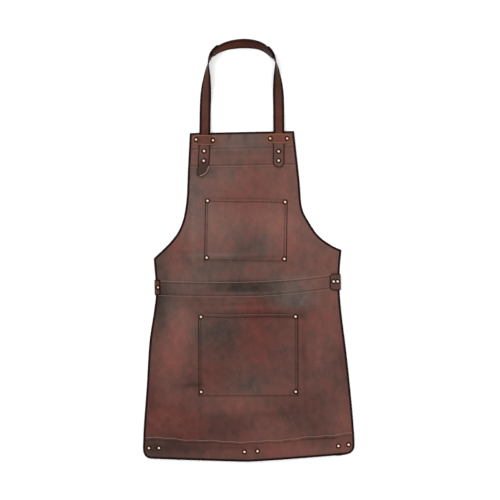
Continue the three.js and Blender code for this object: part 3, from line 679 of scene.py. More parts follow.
HIDE_TONES = (BROWN, RED, CHARCOAL)
STRAP_TONES = ((0.068, 0.029, 0.021, 1), (0.080, 0.025, 0.018, 1), (0.044, 0.027, 0.02, 1))
WAIST_TONES = ((0.085, 0.045, 0.034, 1), (0.09, 0.035, 0.026, 1), (0.06, 0.038, 0.03, 1))
TAIL_TONES = ((0.115, 0.058, 0.046, 1), (0.11, 0.04, 0.032, 1), (0.09, 0.06, 0.05, 1))
KEEPER_TONES = ((0.125, 0.052, 0.038, 1), (0.13, 0.042, 0.03, 1), (0.10, 0.05, 0.038, 1))
PAD_TONES = ((0.060, 0.018, 0.010, 1), (0.066, 0.016, 0.008, 1), (0.044, 0.018, 0.011, 1))
POCKET_CUT_AND_HIGHLIGHT, TAIL_CUT, KEEPER_CUT = (0.21, 0.105, 0.078, 1), (0.42, 0.29, 0.24, 1), (0.25, 0.105, 0.055, 1)

# Wide dark edges (pocket, strap, waist, tail, pad) are burnish with painted shade; the pale trim and pocket
# cuts are raw leather with a painted highlight.
hide_leather = leather("hide_leather", HIDE_TONES, BURNISH_AND_SHADE)
trim_leather = leather("trim_leather", HIDE_TONES, PALE_CUT_AND_HIGHLIGHT, cut_width=1.6)
pocket_leather = leather("pocket_leather", HIDE_TONES, POCKET_CUT_AND_HIGHLIGHT, dark_width=2.4)
strap_leather = leather("strap_leather", STRAP_TONES, BURNISH_AND_SHADE, dark_width=8.4, pull=0.4, nap=0.5)
waist_leather = leather("waist_leather", WAIST_TONES, BURNISH_AND_SHADE, dark_width=3.4, pull=0.4, nap=0.6)
tail_leather = leather("tail_leather", TAIL_TONES, TAIL_CUT, cut_width=2.2, dark_width=3.0, pull=0.9)
keeper_leather = leather("keeper_leather", KEEPER_TONES, KEEPER_CUT, cut_width=2.6, pull=0.4)
pad_leather = leather("pad_leather", PAD_TONES, BURNISH_AND_SHADE, dark_width=8.4, pull=0.3, gloss=0.45)
print("leathers:", len([m for m in bpy.data.materials if m.name.endswith("leather")]))

# %% [markdown]
# ## The hide
#
# The grid's lines run from one side edge to the other, so its outermost points are the cut itself.
# Both side edges are walked in the same four stretches, armhole, waist, skirt and hem
# corner, which keeps the lines level across the apron, and the lowest lines bend with the hem.


# %% The hide's grid
ARMHOLE_RUN, CORNER_RUN = 400.0, 40.0       # about how long those stretches are
HIDE_COLUMNS = 150


def side_rows(name):
    armhole, side, corner = EDGES[name]
    to_fold, to_hem = split_at(side, FOLD_Y)
    top_rows = graded(ARMHOLE_RUN, 106)[:-3] / ARMHOLE_RUN
    top_rows[-1] = 1.0
    corner_rows = graded(CORNER_RUN, 12)[3:] / CORNER_RUN
    parts = [along(armhole, top_rows), along(to_fold, 34)[1:], along(to_hem, 112)[1:]]
    return np.vstack([*parts, along(corner, corner_rows)[1:]])


def between(left, right, share):
    """From a left value to a right one, by a share of the way."""
    return left * (1 - share) + right * share


left_rows, right_rows = side_rows("left"), side_rows("right")
widths = np.linalg.norm(right_rows - left_rows, axis=1)
shares = np.array([graded(w, HIDE_COLUMNS) / w for w in widths])[..., None]
hide_xy = between(left_rows[:, None, :], right_rows[:, None, :], shares)
ends = between(hem_y(left_rows[:, :1]), hem_y(right_rows[:, :1]), shares[..., 0])
bowed = smoothstep(hide_xy[:, :1, 1], 300, 44)
hide_xy[..., 1] += bowed * (hem_y(hide_xy[..., 0]) - ends)
hide_grid = np.dstack([hide_xy, hide_top(hide_xy[..., 0], hide_xy[..., 1])])[::-1]
hide = leather_sheet("main_hide", hide_grid, HIDE, hide_leather, hide_tone)
print("hide grid:", hide_grid.shape[:2], "faces:", len(hide.data.polygons))

# %% [markdown]
# ## Yoke, waist band and hem band
#
# These are strips of the same leather, cut to the hide's own edges and sewn flat on it. Their
# free long edge is a raw cut that catches the light, and the thread pulls a shallow groove just
# inside it.

# %% Bands across the hide
SEAM_IN = 5.0                               # stitches from the edge of a band or pocket
SEAM_DEPTH, SEAM_WIDTH = 0.7, 1.5
EDGE_INSET = 0.5                            # the bands stop just inside the hide's cut edge
BAND_SPAN, HEM_SPAN = 500.0, 560.0          # about how wide the bands are, to space their grids
BAND_SIDE = 200                             # where a band's slope is measured, each side of the middle


def ply_top(x, y):
    """Height of the face of one ply sewn flat on the hide."""
    return hide_top(x, y) + PLY_GAP + TRIM


def groove(distance):
    return SEAM_DEPTH * np.exp(-((distance / SEAM_WIDTH) ** 2))


def band_sheet(name, low, high, columns, rows, seams):
    """A strip over the whole width between two lines; seams are distances above the lower line."""
    places = np.linspace(-BAND_SIDE, BAND_SIDE, 9)
    heights = graded(float(np.mean(high(places) - low(places))), rows, seams)
    share = (heights / heights[-1])[:, None]
    x_left = edge_x("left", between(low(-BAND_SIDE), high(-BAND_SIDE), share)) + EDGE_INSET
    x_right = edge_x("right", between(low(BAND_SIDE), high(BAND_SIDE), share)) - EDGE_INSET
    x = between(x_left, x_right, (graded(BAND_SPAN, columns) / BAND_SPAN)[None, :])
    y = between(low(x), high(x), share)
    z = ply_top(x, y)
    sunk = sum(groove(heights - seam) for seam in seams)[:, None]
    face = np.dstack([x, y, z - sunk])
    return leather_sheet(name, face, TRIM, trim_leather, hide_tone, seam=0.5 * sunk / SEAM_DEPTH)


YOKE_HEIGHT = 96.0
yoke_low = BODY_LENGTH - YOKE_HEIGHT


def level(y):
    return lambda x: np.zeros_like(np.asarray(x, float)) + y


YOKE_SEAMS = (SEAM_IN, 52.0, YOKE_HEIGHT - SEAM_IN)
yoke = band_sheet("yoke_facing", level(yoke_low), level(BODY_LENGTH - EDGE_INSET), 110, 36, YOKE_SEAMS)

BAND_BOTTOM, BAND_HEIGHT, BAND_REACH = 456.5, 42.0, 235.0


def waist_low(x):
    x = np.asarray(x, float)
    return BAND_BOTTOM + np.where(x < 0, 8.0, 15.5) * (x / BAND_REACH) ** 2


def waist_high(x):
    return waist_low(x) + BAND_HEIGHT


WAIST_SEAMS = (SEAM_IN, BAND_HEIGHT - SEAM_IN)
waist_band = band_sheet("waist_band_strip", waist_low, waist_high, 190, 18, WAIST_SEAMS)


# %% The hem band follows the round corners
HEM_HEIGHT, HEM_FLARE = 56.0, 20.0          # the band at the middle, and how much taller at the sides
HEM_SEAM, HEM_HALF = 5.5, 290.0
HEM_SIDE_POINTS = 40                        # of the hide's side, enough to reach the band's top


def hem_top(x):
    return HEM_HEIGHT + HEM_FLARE * (np.abs(x) / HALF_RIGHT) ** 1.4


def hem_side(name, shares):
    """A side of the hem band, from its top corner down and round to the hem."""
    line = np.vstack([EDGES[name][1][-HEM_SIDE_POINTS:], EDGES[name][2][1:]])
    return along(split_at(line, hem_top(SIDES[name]["half"]))[1], shares)


def hem_grid(columns, rows, seam):
    """Rows run from side to side; the lowest follow the hem and the highest the band's top."""
    depth = graded(HEM_HEIGHT, rows, (seam,))
    share = (depth / HEM_HEIGHT)[:, None]
    left, right = hem_side("left", share[:, 0]), hem_side("right", share[:, 0])
    across = (graded(HEM_SPAN, columns) / HEM_SPAN)[None, :]
    x = between(left[:, :1], right[:, :1], across)
    y = between(left[:, 1:], right[:, 1:], across)
    bottom_ends = between(hem_y(left[:, :1]), hem_y(right[:, :1]), across)
    top_ends = between(hem_top(left[:, :1]), hem_top(right[:, :1]), across)
    y = y + share * (hem_y(x) - bottom_ends) + (1 - share) * (hem_top(x) - top_ends)
    y = y + (1 - share) * 1.1 * (np.sin(x / 21.0) + 0.7 * np.sin(x / 8.3 + 1.0)) + 0.4 * share
    x = x * (1 - EDGE_INSET / HEM_HALF)
    z = ply_top(x, y) - groove(depth - seam)[:, None]
    return np.dstack([x, y, z])[::-1]


hem_top_side = hem_grid(200, 26, HEM_SEAM)
hem_sunk = groove(graded(HEM_HEIGHT, 26, (HEM_SEAM,)) - HEM_SEAM)[::-1, None] / (2 * SEAM_DEPTH)
hem = leather_sheet("hem_band_strip", hem_top_side, TRIM, trim_leather, hide_tone, seam=hem_sunk)
print("bands made:", yoke.name, waist_band.name, hem.name)

# %% [markdown]
# ## Patch pockets
#
# A patch pocket is sewn down on three sides and free along its mouth, where the leather is
# turned once and sewn again. The middle stands off the hide, most of all at the mouth, and dips
# towards the seams. A grid with extra lines beside each seam can carry both the bulge and the
# groove.

# %% Pockets
POCKET_SEAM = 6.5                           # stitches from the pocket's sides
MOUTH_FOLD = 8.0                            # from the mouth to the second row of stitches
MOUTH_GAPE = 3.4                            # how far the mouth stands open in the middle


def pocket_groove(spec, x, y):
    half_x, half_y = spec["width"] / 2, spec["height"] / 2
    sunk = np.maximum(groove(half_x - np.abs(x) - POCKET_SEAM), groove(y + half_y - SEAM_IN))
    return np.maximum(sunk, groove(half_y - y - MOUTH_FOLD))


def pocket_surface(spec, x, y):
    """Place of a point of the pocket's face, from its own x and y about its middle."""
    half_x, half_y = spec["width"] / 2, spec["height"] / 2
    across = smoothstep(half_x - np.abs(x), 7.0, 55.0)
    up = smoothstep(y + half_y, 8.0, 0.85 * spec["height"])
    dimple = 0.55 * np.sin(x / 31.0 + 0.6) * np.sin(y / 27.0 + 0.3)
    bulge = across * (MOUTH_GAPE * up**1.5 + 0.9 * smoothstep(y + half_y, 8.0, 40.0) * (1 + dimple))
    sunk = pocket_groove(spec, x, y)
    turned_edge = 0.9 * smoothstep(half_y - y, MOUTH_FOLD, MOUTH_FOLD - 1.8)
    wavy = 0.8 * np.sin(x / 26.0) * smoothstep(y, half_y - 40, half_y)
    px, py = pocket_point(spec, x, y + wavy)
    return px, py, ply_top(px, py) + bulge + turned_edge - sunk


def pocket_sheet(name, spec, columns, rows):
    width, height = spec["width"], spec["height"]
    u = graded(width, columns, (POCKET_SEAM, width - POCKET_SEAM)) - width / 2
    v = graded(height, rows, (SEAM_IN, height - MOUTH_FOLD)) - height / 2
    x, y = np.meshgrid(u, v)
    # the pocket's top and bottom cuts are pale: raw leather with a painted highlight along the turned mouth
    ends = smoothstep(np.abs(y), height / 2 - 2.4, height / 2 - 1.2)
    sunk = 0.8 * pocket_groove(spec, x, y) / SEAM_DEPTH
    face = np.dstack(pocket_surface(spec, x, y))
    return leather_sheet(name, face, TRIM, pocket_leather, hide_tone, raw=ends, seam=sunk)


chest_pocket = pocket_sheet("chest_patch_pocket", CHEST, 84, 66)
skirt_pocket = pocket_sheet("skirt_patch_pocket", SKIRT, 96, 80)
print("pocket faces:", len(chest_pocket.data.polygons), len(skirt_pocket.data.polygons))

# %% [markdown]
# ## Straps that bend and turn
#
# A strap is a ribbon: a middle line, and at each point of it the direction it runs in and the
# direction its grain side faces. The neck straps lie flat on the yoke, slide down to the table
# above it and turn on edge as they run into the pad, because a strap bends easily over its face
# and hardly at all in its own plane.


# %% Ribbons
RIBBON_SPAN = 30.0                          # the width that a strap's seams are given on


def ribbon(name, middle, ahead, face, left, right, thick, material, columns=13, crown=0.2, seams=(),
           raw=0.0, tone=strap_tone):
    """A strap round its middle line; left and right are how far it reaches to each side."""
    count = len(middle)
    across = unit(np.cross(ahead, face))
    left, right = (np.broadcast_to(np.asarray(v, float), (count,))[:, None] for v in (left, right))
    share = graded(RIBBON_SPAN, columns, seams) / RIBBON_SPAN
    offset = -left + (left + right) * share[None, :]
    rise = crown * (1 - (2 * share - 1) ** 2)
    for seam in seams:
        rise = rise - groove(RIBBON_SPAN * share - seam)
    top = (middle + face * thick / 2)[:, None] + across[:, None] * offset[..., None]
    top = top + face[:, None] * rise[None, :, None]
    if np.ndim(raw) == 2:
        raw = raw * smoothstep(share, 0.55, 0.4)[None, :]
    return leather_sheet(name, top, thick, material, tone, on_hide=False, raw=raw)


def headings(line):
    return unit(np.gradient(line, axis=0))


def tongue(run, length, half, radius):
    """Half width along a strap whose end is rounded over its last stretch."""
    into = np.clip((radius - (length - run)) / radius, 0, 1)
    return half * np.sqrt(np.maximum(1 - into**2.2, 0.01))


def stations(length, count, radius):
    """Distances along a strap, closer together over its rounded last stretch."""
    body = np.linspace(0, length - radius, count)
    tip = length - radius * (1 - np.sin(np.linspace(0, np.pi / 2, 12))[1:])
    return np.concatenate([body, tip])


# %% The route of the neck loop
UP = np.array([0.0, 0.0, 1.0])
NECK_HALF = 15.5
# Each knot is x, the height above the neck hinge and the roll in degrees; 90 is on edge.
LOOP_ROUTE = [
    (-102.2, 0, 0), (-99, 82, 6), (-92.5, 144, 48), (-86.5, 190, 90), (-74.5, 215, 108),
    (-45, 233, 126), (9, 241, 139), (57, 233, 126), (83, 213, 108), (95, 190, 90),
    (99.5, 144, 48), (103, 82, 6), (102.25, 0, 0),
]
PAD_THICK, LOOP_GAP = 3.6, 0.8
PAD_HALF, PAD_OVERLAP, PAD_RIVETS = 99.0, 35.0, (71.0, 91.0)
LOOP_SETTLE = 80.0
ROUTE_STEPS = 60                            # points to each stretch of the route
STRAP_REST = 7.1                            # underside of the strap where it leaves the yoke

knots = [(x, NECK_HINGE[1] + rise) for x, rise, roll in LOOP_ROUTE]
route = smooth_curve(knots, ROUTE_STEPS, 0.5)
route_run = run_lengths(route)
knot_runs = route_run[::ROUTE_STEPS]
loop_length = float(route_run[-1])
loop_middle = float(knot_runs[len(knots) // 2])
rolls = smooth_curve([(run, knot[2]) for run, knot in zip(knot_runs, LOOP_ROUTE)], 20)
print("neck loop length, mm:", round(loop_length))


def route_at(run):
    return np.column_stack([np.interp(run, route_run, route[:, k]) for k in (0, 1)])


def loop_frames(run, offset):
    """Middle line, heading and face of the loop at distances along it, moved out by offset."""
    xy = route_at(run)
    heading = unit(np.column_stack([route_at(run + 2) - route_at(run - 2), np.zeros(len(run))]))
    roll = np.radians(np.interp(run, rolls[:, 0], np.maximum(rolls[:, 1], 0)))[:, None]
    outward = np.cross(UP, heading)
    face = UP * np.cos(roll) + outward * np.sin(roll)
    settled = smoothstep(xy[:, 1], NECK_HINGE[1], NECK_HINGE[1] + LOOP_SETTLE)
    under = np.maximum(0, -np.cos(roll[:, 0])) * (NECK + LOOP_GAP)
    height = NECK_HALF * np.sin(roll[:, 0]) + under + STRAP_REST * (1 - settled)
    return np.column_stack([xy, height]) + face * offset, heading, face


# %% [markdown]
# ### Neck straps and their tails
#
# Each strap is made in two pieces that meet out of sight under its keeper. The upper piece
# crosses the fold of the neck loop and the lower one the fold of the tail. The left tail was cut
# off at a slant and has begun to lift; the right one is a plain rounded tongue.


# %% Upper neck straps
FLAT_ROWS = 14                              # grid lines of a strap between keeper and fold
STRAP_ROWS, STRAP_ROUND = 84, 12.0
LEFT_CUT = -78.0                            # where the left tail's slanting cut begins


def yoke_top(x, y):
    return hide_top(x, y) + TRIM + 2 * PLY_GAP


def upper_strap(side):
    turn = 1 if side == "left" else -1
    reach = loop_middle - turn * (PAD_HALF - PAD_OVERLAP)
    start = 0.0 if side == "left" else loop_length
    length = abs(reach - start)
    loop_run = stations(length, STRAP_ROWS, STRAP_ROUND)
    middle, heading, face = loop_frames(start + turn * loop_run, (LOOP_GAP + NECK) / 2)
    fold = NECK_HINGE[1] - STRAP_ANCHOR_Y
    local = np.linspace(KEEPER_DROP + 0.6, fold - 1.5, FLAT_ROWS)
    px, py = strap_point(side, np.zeros(FLAT_ROWS), local)
    ease = smoothstep(local, KEEPER_DROP + 4, fold)
    pz = (yoke_top(px, py) + NECK / 2) * (1 - ease) + middle[0, 2] * ease
    line = np.vstack([np.column_stack([px, py, pz]), middle])
    faces = np.vstack([np.tile(UP, (FLAT_ROWS, 1)), face])
    ahead = np.vstack([np.tile(heading[0] * turn, (FLAT_ROWS, 1)), heading * turn])
    half = tongue(np.concatenate([np.zeros(FLAT_ROWS), loop_run]), length, NECK_HALF, 9.0)
    return ribbon(f"neck_strap_{side}_run", line, ahead, faces, half, half, NECK, strap_leather)


neck_straps = {side: upper_strap(side) for side in YOKE_STRAPS}
for side, strap in neck_straps.items():
    print("neck strap", side, "faces:", len(strap.data.polygons))


# %% Tails
def tail_tone(x, y):
    """The left tail darkens towards its tip."""
    red, light = strap_tone(x, y)
    tip_darkening = (x < 0) * smoothstep(y, 850, 815)
    return red - 0.8, light - 0.32 * tip_darkening


def tail_strap(side):
    tip = YOKE_STRAPS[side]["tip"]
    length = KEEPER_DROP - 0.6 - tip
    run = stations(length, 40, 14.0)
    local = KEEPER_DROP - 0.6 - run
    if side == "left":
        slant = np.clip((LEFT_CUT - local) / (LEFT_CUT - tip), 0, 1)
        left = NECK_HALF + 1.5 * smoothstep(slant, 0, 1) - 4.0 * smoothstep(slant, 0.86, 1) ** 2
        right = -11.5 + 27.0 * np.sqrt(np.maximum(1 - slant**2.1, 0))
        lift, raw_end = 3.0, smoothstep(local, -80, -88)[:, None]
    else:
        left = right = tongue(run, length, NECK_HALF, 15.0)
        lift, raw_end = 0.4, 0.0
    px, py = strap_point(side, np.zeros(len(run)), local)
    lifted = lift * smoothstep(local, -74, tip) ** 1.3
    pz = yoke_top(px, np.maximum(py, yoke_low)) + NECK / 2 + lifted
    line = np.column_stack([px, py, pz])
    ahead = headings(line)
    side_way = np.column_stack([-ahead[:, 1], ahead[:, 0], np.zeros(len(line))])
    faces = unit(np.cross(ahead, side_way))
    return ribbon(f"neck_strap_{side}_tail_end", line, ahead, faces, right, left, NECK, tail_leather,
                  raw=raw_end, tone=tail_tone)


tails = {side: tail_strap(side) for side in YOKE_STRAPS}

# %% [markdown]
# ### Keepers
#
# A keeper is a short strip riveted down at both ends, which bridges the strap like a belt loop.
# It is a ribbon too, whose middle line steps up over the strap.

# %% Keepers
KEEPER_HALF_X, KEEPER_HALF_Y = 33.0, 13.5
KEEPER_ROUND = 14.0                         # how much of each end takes the closer grid lines


def keeper(side):
    """A keeper strip; the grid lines of its second half mirror those of its first."""
    ends = KEEPER_ROUND * (1 - np.cos(np.linspace(0, np.pi / 2, 10)))[1:]
    run = np.concatenate([[0], ends, np.linspace(KEEPER_ROUND, KEEPER_HALF_X, 24)[1:]])
    run = np.concatenate([run, 2 * KEEPER_HALF_X - run[-2::-1]])
    local = run - KEEPER_HALF_X
    px, py = strap_point(side, local, np.full(len(run), KEEPER_DROP))
    bridge = smoothstep(np.abs(local), 20.5, 15.0)
    pz = yoke_top(px, py) + KEEPER / 2 + (NECK + 0.3) * bridge
    line = np.column_stack([px, py, pz])
    ahead = headings(line)
    lean = math.radians(YOKE_STRAPS[side]["lean"])
    sideways = np.tile([-math.sin(lean), math.cos(lean), 0.0], (len(run), 1))
    faces = np.cross(ahead, sideways)
    half = tongue(np.maximum(run, 2 * KEEPER_HALF_X - run), 2 * KEEPER_HALF_X, KEEPER_HALF_Y, 12.5)
    return ribbon(f"keeper_{side}_strip", line, ahead, faces, half, half, KEEPER, keeper_leather,
                  crown=0.35, raw=1.0)


keepers = {side: keeper(side) for side in YOKE_STRAPS}
print("keepers:", [k.name for k in keepers.values()])

# %% [markdown]
# ### Neck pad
#
# The pad is two plies stitched along both edges, so it is plump in the middle and pinched at its
# seams. It lies on the inner side of the loop and shows its own face to the sky.

# %% Neck pad
PAD_SEAMS, PAD_ROUND = (3.6, 26.4), 10.0
PAD_LENGTH = 2 * PAD_HALF
pad_run = stations(PAD_LENGTH, 70, PAD_ROUND)
pad_run = np.concatenate([(PAD_LENGTH - pad_run)[::-1][:12], pad_run[pad_run > PAD_ROUND + 0.01]])
pad_run = np.unique(np.round(pad_run, 3))
pad_offset = -(LOOP_GAP + PAD_THICK) / 2
pad_middle, pad_heading, pad_face = loop_frames(loop_middle - PAD_HALF + pad_run, pad_offset)
pad_half = tongue(np.maximum(pad_run, PAD_LENGTH - pad_run), PAD_LENGTH, NECK_HALF - 0.2, PAD_ROUND)
neck_pad = ribbon("neck_pad_cushion", pad_middle, pad_heading, -pad_face, pad_half, pad_half,
                  PAD_THICK - 0.4, pad_leather, columns=18, crown=0.8, seams=PAD_SEAMS)
print("neck pad faces:", len(neck_pad.data.polygons))

# %% [markdown]
# ### Waist strap
#
# One strap runs behind the apron at the waist. Its left end is folded round the hide and riveted
# to its front; its right end wraps round the other side and closes on two snaps. The wrap bends
# round a tight corner, so its middle line is drawn in the plane of the bend.

# %% Waist strap and its tab
WAIST_CLIMB = math.tan(math.radians(0.6))
TAB_HALF, TAB_LENGTH, TAB_CLIP = 23.0, 29.5, 7.0
BACK_Z, FRONT_Z, WRAP_SPLIT = 1.25, 7.75, 3.6
WRAP_OUT = 0.35 + WAIST_STRAP / 2           # from the hide's edge to the middle of the strap
lip_end = lip_rivet[0] + 6.0
wrap_left = float(edge_x("left", WAIST_Y + WAIST_HALF)) - WRAP_OUT
wrap_right = float(edge_x("right", TAB_HINGE[1] + WAIST_HALF)) + WRAP_OUT


def rounded_path(corners, radius, spacing):
    """A path through corners in a plane, each turned by an arc."""
    corners = np.array(corners, float)
    t = np.linspace(0, 1, 7)[:, None]
    out = [corners[:1]]
    for before, corner, after in zip(corners, corners[1:], corners[2:]):
        back, on = unit(before - corner), unit(after - corner)
        out.append(corner + back * radius * (1 - t) ** 2 + on * radius * t**2)
    path = np.vstack([*out, corners[-1:]])
    run = run_lengths(path)
    extra = np.arange(0, run[-1], spacing)
    places = np.unique(np.round(np.concatenate([run, extra]), 4))
    return np.column_stack([np.interp(places, run, path[:, k]) for k in (0, 1)])


def wrap_ribbon(name, corners, half_width, spacing):
    path = rounded_path(corners, 1.5, spacing)
    y = WAIST_Y + (path[:, 0] - lip_rivet[0]) * WAIST_CLIMB
    line = np.column_stack([path[:, 0], y, path[:, 1]])
    ahead = headings(np.column_stack([path[:, 0], np.zeros(len(path)), path[:, 1]]))
    faces = np.cross(np.tile([0.0, 1.0, 0.0], (len(path), 1)), ahead)
    half = half_width(run_lengths(line))
    return ribbon(name, line, ahead, faces, half, half, WAIST_STRAP, waist_leather, columns=17)


def plain_half(run):
    return np.full(len(run), WAIST_HALF)


def tab_half(run):
    into = run[-1] - run
    wide = WAIST_HALF + (TAB_HALF - WAIST_HALF) * smoothstep(run, 0, 8)
    return wide - TAB_CLIP * 0.86 * np.clip(1 - into / TAB_CLIP, 0, 1)


strap_corners = [(lip_end, FRONT_Z), (wrap_left, FRONT_Z), (wrap_left, BACK_Z), (wrap_right, BACK_Z),
                 (wrap_right, WRAP_SPLIT)]
tab_end = TAB_HINGE[0] - TAB_LENGTH
tab_corners = [(wrap_right, WRAP_SPLIT), (wrap_right, FRONT_Z), (tab_end, FRONT_Z + 0.1)]
waist_strap = wrap_ribbon("waist_strap_run", strap_corners, plain_half, 6.0)
waist_tab = wrap_ribbon("waist_tab_wrap", tab_corners, tab_half, 1.5)
print("waist strap faces:", len(waist_strap.data.polygons), "tab faces:", len(waist_tab.data.polygons))

# %% [markdown]
# ## Rivets and snaps
#
# A copper rivet has a domed head on the face and a small burr on the back. Dozens of them repeat,
# so one node tree squashes a ball into a dome and stands it on every marked point, turned
# to the way the leather faces there. The points carry that direction and the head's size.


# %% Trees made of named inputs
def new_tree(name, inputs):
    tree = bpy.data.node_groups.new(name, "GeometryNodeTree")
    tree.interface.new_socket("Geometry", in_out="INPUT", socket_type="NodeSocketGeometry")
    for label, kind, value in inputs:
        socket = tree.interface.new_socket(label, in_out="INPUT", socket_type=kind)
        if value is not None:
            socket.default_value = value
    tree.interface.new_socket("Geometry", in_out="OUTPUT", socket_type="NodeSocketGeometry")
    return tree, tree.nodes.new("NodeGroupInput"), tree.nodes.new("NodeGroupOutput")


def tree_node(tree, kind, sources=(), **settings):
    """Adds a node; a source is a value, a socket, or a node that stands for its first output."""
    node = tree.nodes.new(kind)
    for key, value in settings.items():
        setattr(node, key, value)
    for socket, source in sources:
        if isinstance(source, bpy.types.Node):
            source = source.outputs[0]
        if isinstance(source, bpy.types.NodeSocket):
            tree.links.new(source, node.inputs[socket])
        else:
            node.inputs[socket].default_value = source
    return node


def stored(tree, label, kind):
    return tree_node(tree, "GeometryNodeInputNamedAttribute", [("Name", label)], data_type=kind)


def grow_copies(tree, result, material, points, copied, rotation, **scale):
    """Ends a tree: one thing stood on every point, made into a single smooth mesh."""
    node = partial(tree_node, tree)
    sources = [("Points", points), ("Instance", copied), ("Rotation", rotation), *scale.items()]
    copies = node("GeometryNodeInstanceOnPoints", sources)
    real = node("GeometryNodeRealizeInstances", [("Geometry", copies)])
    smooth = node("GeometryNodeSetShadeSmooth", [("Geometry", real)])
    coated = node("GeometryNodeSetMaterial", [("Geometry", smooth), ("Material", material)])
    tree.links.new(coated.outputs[0], result.inputs[0])
    return tree


# %% The rivet tree: a domed head standing on the leather
def rivet_tree():
    inputs = [("Radius", "NodeSocketFloat", 0.0053), ("Height", "NodeSocketFloat", 0.0022),
              ("Segments", "NodeSocketInt", 24), ("Metal", "NodeSocketMaterial", None)]
    tree, given, result = new_tree("rivet_heads", inputs)
    node = partial(tree_node, tree)
    radius, height = given.outputs["Radius"], given.outputs["Height"]
    ball = node("GeometryNodeMeshUVSphere", [
        ("Segments", given.outputs["Segments"]), ("Rings", 14), ("Radius", 1.0)])
    place = node("GeometryNodeInputPosition")
    rise = node("ShaderNodeSeparateXYZ", [("Vector", place)])
    marked = node("GeometryNodeStoreNamedAttribute", [
        ("Geometry", ball), ("Name", "dome"), ("Value", rise.outputs["Z"])],
        data_type="FLOAT", domain="POINT")
    size = node("ShaderNodeCombineXYZ", [("X", radius), ("Y", radius), ("Z", height)])
    dome = node("GeometryNodeTransform", [("Geometry", marked), ("Scale", size)])
    facing = stored(tree, "facing", "FLOAT_VECTOR")
    turned_to = node("FunctionNodeAlignRotationToVector", [("Vector", facing)], axis="Z")
    return grow_copies(tree, result, given.outputs["Metal"], given, dome, turned_to,
                       Scale=stored(tree, "size", "FLOAT"))


RIVETS = rivet_tree()


def grown(name, tree, points, attributes, inputs, edges=()):
    """Runs a node tree on points given in pattern millimetres and keeps the plain mesh."""
    seed = bpy.data.meshes.new(name + "_points")
    seed.from_pydata(to_frame(points).tolist(), [tuple(e) for e in edges], [])
    for label, values in attributes.items():
        store(seed, label, values)
    holder = add_object(name + "_holder", seed)
    modifier = holder.modifiers.new("grow", "NODES")
    modifier.node_group = tree
    for item in tree.interface.items_tree:
        if item.in_out == "INPUT" and item.name in inputs:
            modifier[item.identifier] = inputs[item.name]
    evaluated = holder.evaluated_get(bpy.context.evaluated_depsgraph_get())
    made = bpy.data.meshes.new_from_object(evaluated)
    made.name = name
    bpy.data.objects.remove(holder)
    return add_object(name, made)


# %% [markdown]
# ### Copper
#
# The copper is near white on top of the dome, a painted highlight over rubbed metal, and dark brown
# low down by the leather, painted shade with some dirt in it. The rivet tree stored how high each
# point sits on its own head, so the colour follows the head however it is turned.


# %% Metals
def worn_and_lit_metal(name, bright, dull, roughness):
    r = Recipe(name)
    slope = r.spread(r.attribute("dome"), 0.76, 0.94)
    spots = r.spread(r.noise(900.0, 4.0, 0.6), 0.35, 0.7)
    # painted highlight on the dome's top, painted dark ring with some dirt low down
    color = r.mix(slope, dull, bright)
    color = r.mix(r.math("MULTIPLY", spots, 0.25), color, dull)
    normal = r.bump(r.noise(1500.0, 2.0), 0.00008, 0.4)
    rough = r.spread(spots, 0.0, 1.0, roughness, roughness + 0.12)
    return r.finish(color, rough, normal, Metallic=1.0)


copper = worn_and_lit_metal("copper_rivet", (1.0, 0.76, 0.61, 1), (0.085, 0.026, 0.008, 1), 0.24)
brass = worn_and_lit_metal("brass_snap", (1.0, 0.87, 0.70, 1), (0.05, 0.02, 0.008, 1), 0.22)

# %% Where the rivets stand
HEAD_R, HEAD_HEIGHT, BURR_R, BURR_HEIGHT = 5.3, 2.2, 4.2, 0.7
POST_R, POST_HEIGHT = 3.6, 1.5
HEAD_SUNK, BURR_SUNK = 0.15, 0.1            # how far they are set into, or off, the leather
LIP_BURR_Z = 0.8                            # behind the folded end of the waist strap
rivet_sets = {"skirt": [], "bib": [], "neck_loop": []}


def on_front(body, places, height, size=1.0):
    for x, y in places:
        z = float(height(np.float64(x), np.float64(y)))
        rivet_sets[body].append(((x, y, z - HEAD_SUNK), (0, 0, 1), size))


on_front("skirt", hem_rivets, ply_top)
on_front("skirt", pocket_rivets(SKIRT), ply_top)
on_front("bib", pocket_rivets(CHEST), ply_top)
on_front("bib", keeper_rivets, lambda x, y: yoke_top(x, y) + KEEPER, 0.925)
on_front("bib", neck_studs, lambda x, y: yoke_top(x, y) + NECK)
on_front("bib", [lip_rivet], lambda x, y: FRONT_Z + WAIST_STRAP / 2, 0.8)
pad_spots = np.array([loop_middle + sign * s for sign in (-1, 1) for s in PAD_RIVETS])
spot_middle, _, spot_face = loop_frames(pad_spots, LOOP_GAP / 2 + NECK - 0.1)
rivet_sets["neck_loop"] = [(tuple(p), tuple(f), 0.943) for p, f in zip(spot_middle, spot_face)]


# %% Rivet heads and burrs, one mesh for each body
def head(radius, height, metal=copper, segments=24):
    return {"Radius": radius * MM, "Height": height * MM, "Segments": segments, "Metal": metal}


HEAD, BURR = head(HEAD_R, HEAD_HEIGHT), head(BURR_R, BURR_HEIGHT)
heads, backs = {}, {}
for body, seats in rivet_sets.items():
    points, facing, sizes = (np.array(column, float) for column in zip(*seats))
    heads[body] = grown(f"rivet_heads_{body}", RIVETS, points, {"facing": facing, "size": sizes}, HEAD)
    if body == "neck_loop":
        points, _, facing = loop_frames(pad_spots, -(LOOP_GAP / 2 + PAD_THICK - 0.3))
    else:
        points[:, 2] = HELD_UP - BURR_SUNK
        if body == "bib":
            points[-1, 2] = LIP_BURR_Z
    burr_marks = {"facing": -facing, "size": np.ones(len(seats))}
    backs[body] = grown(f"rivet_burrs_{body}", RIVETS, points, burr_marks, BURR)
    print(body, "rivets:", len(seats), "faces:", len(heads[body].data.polygons))

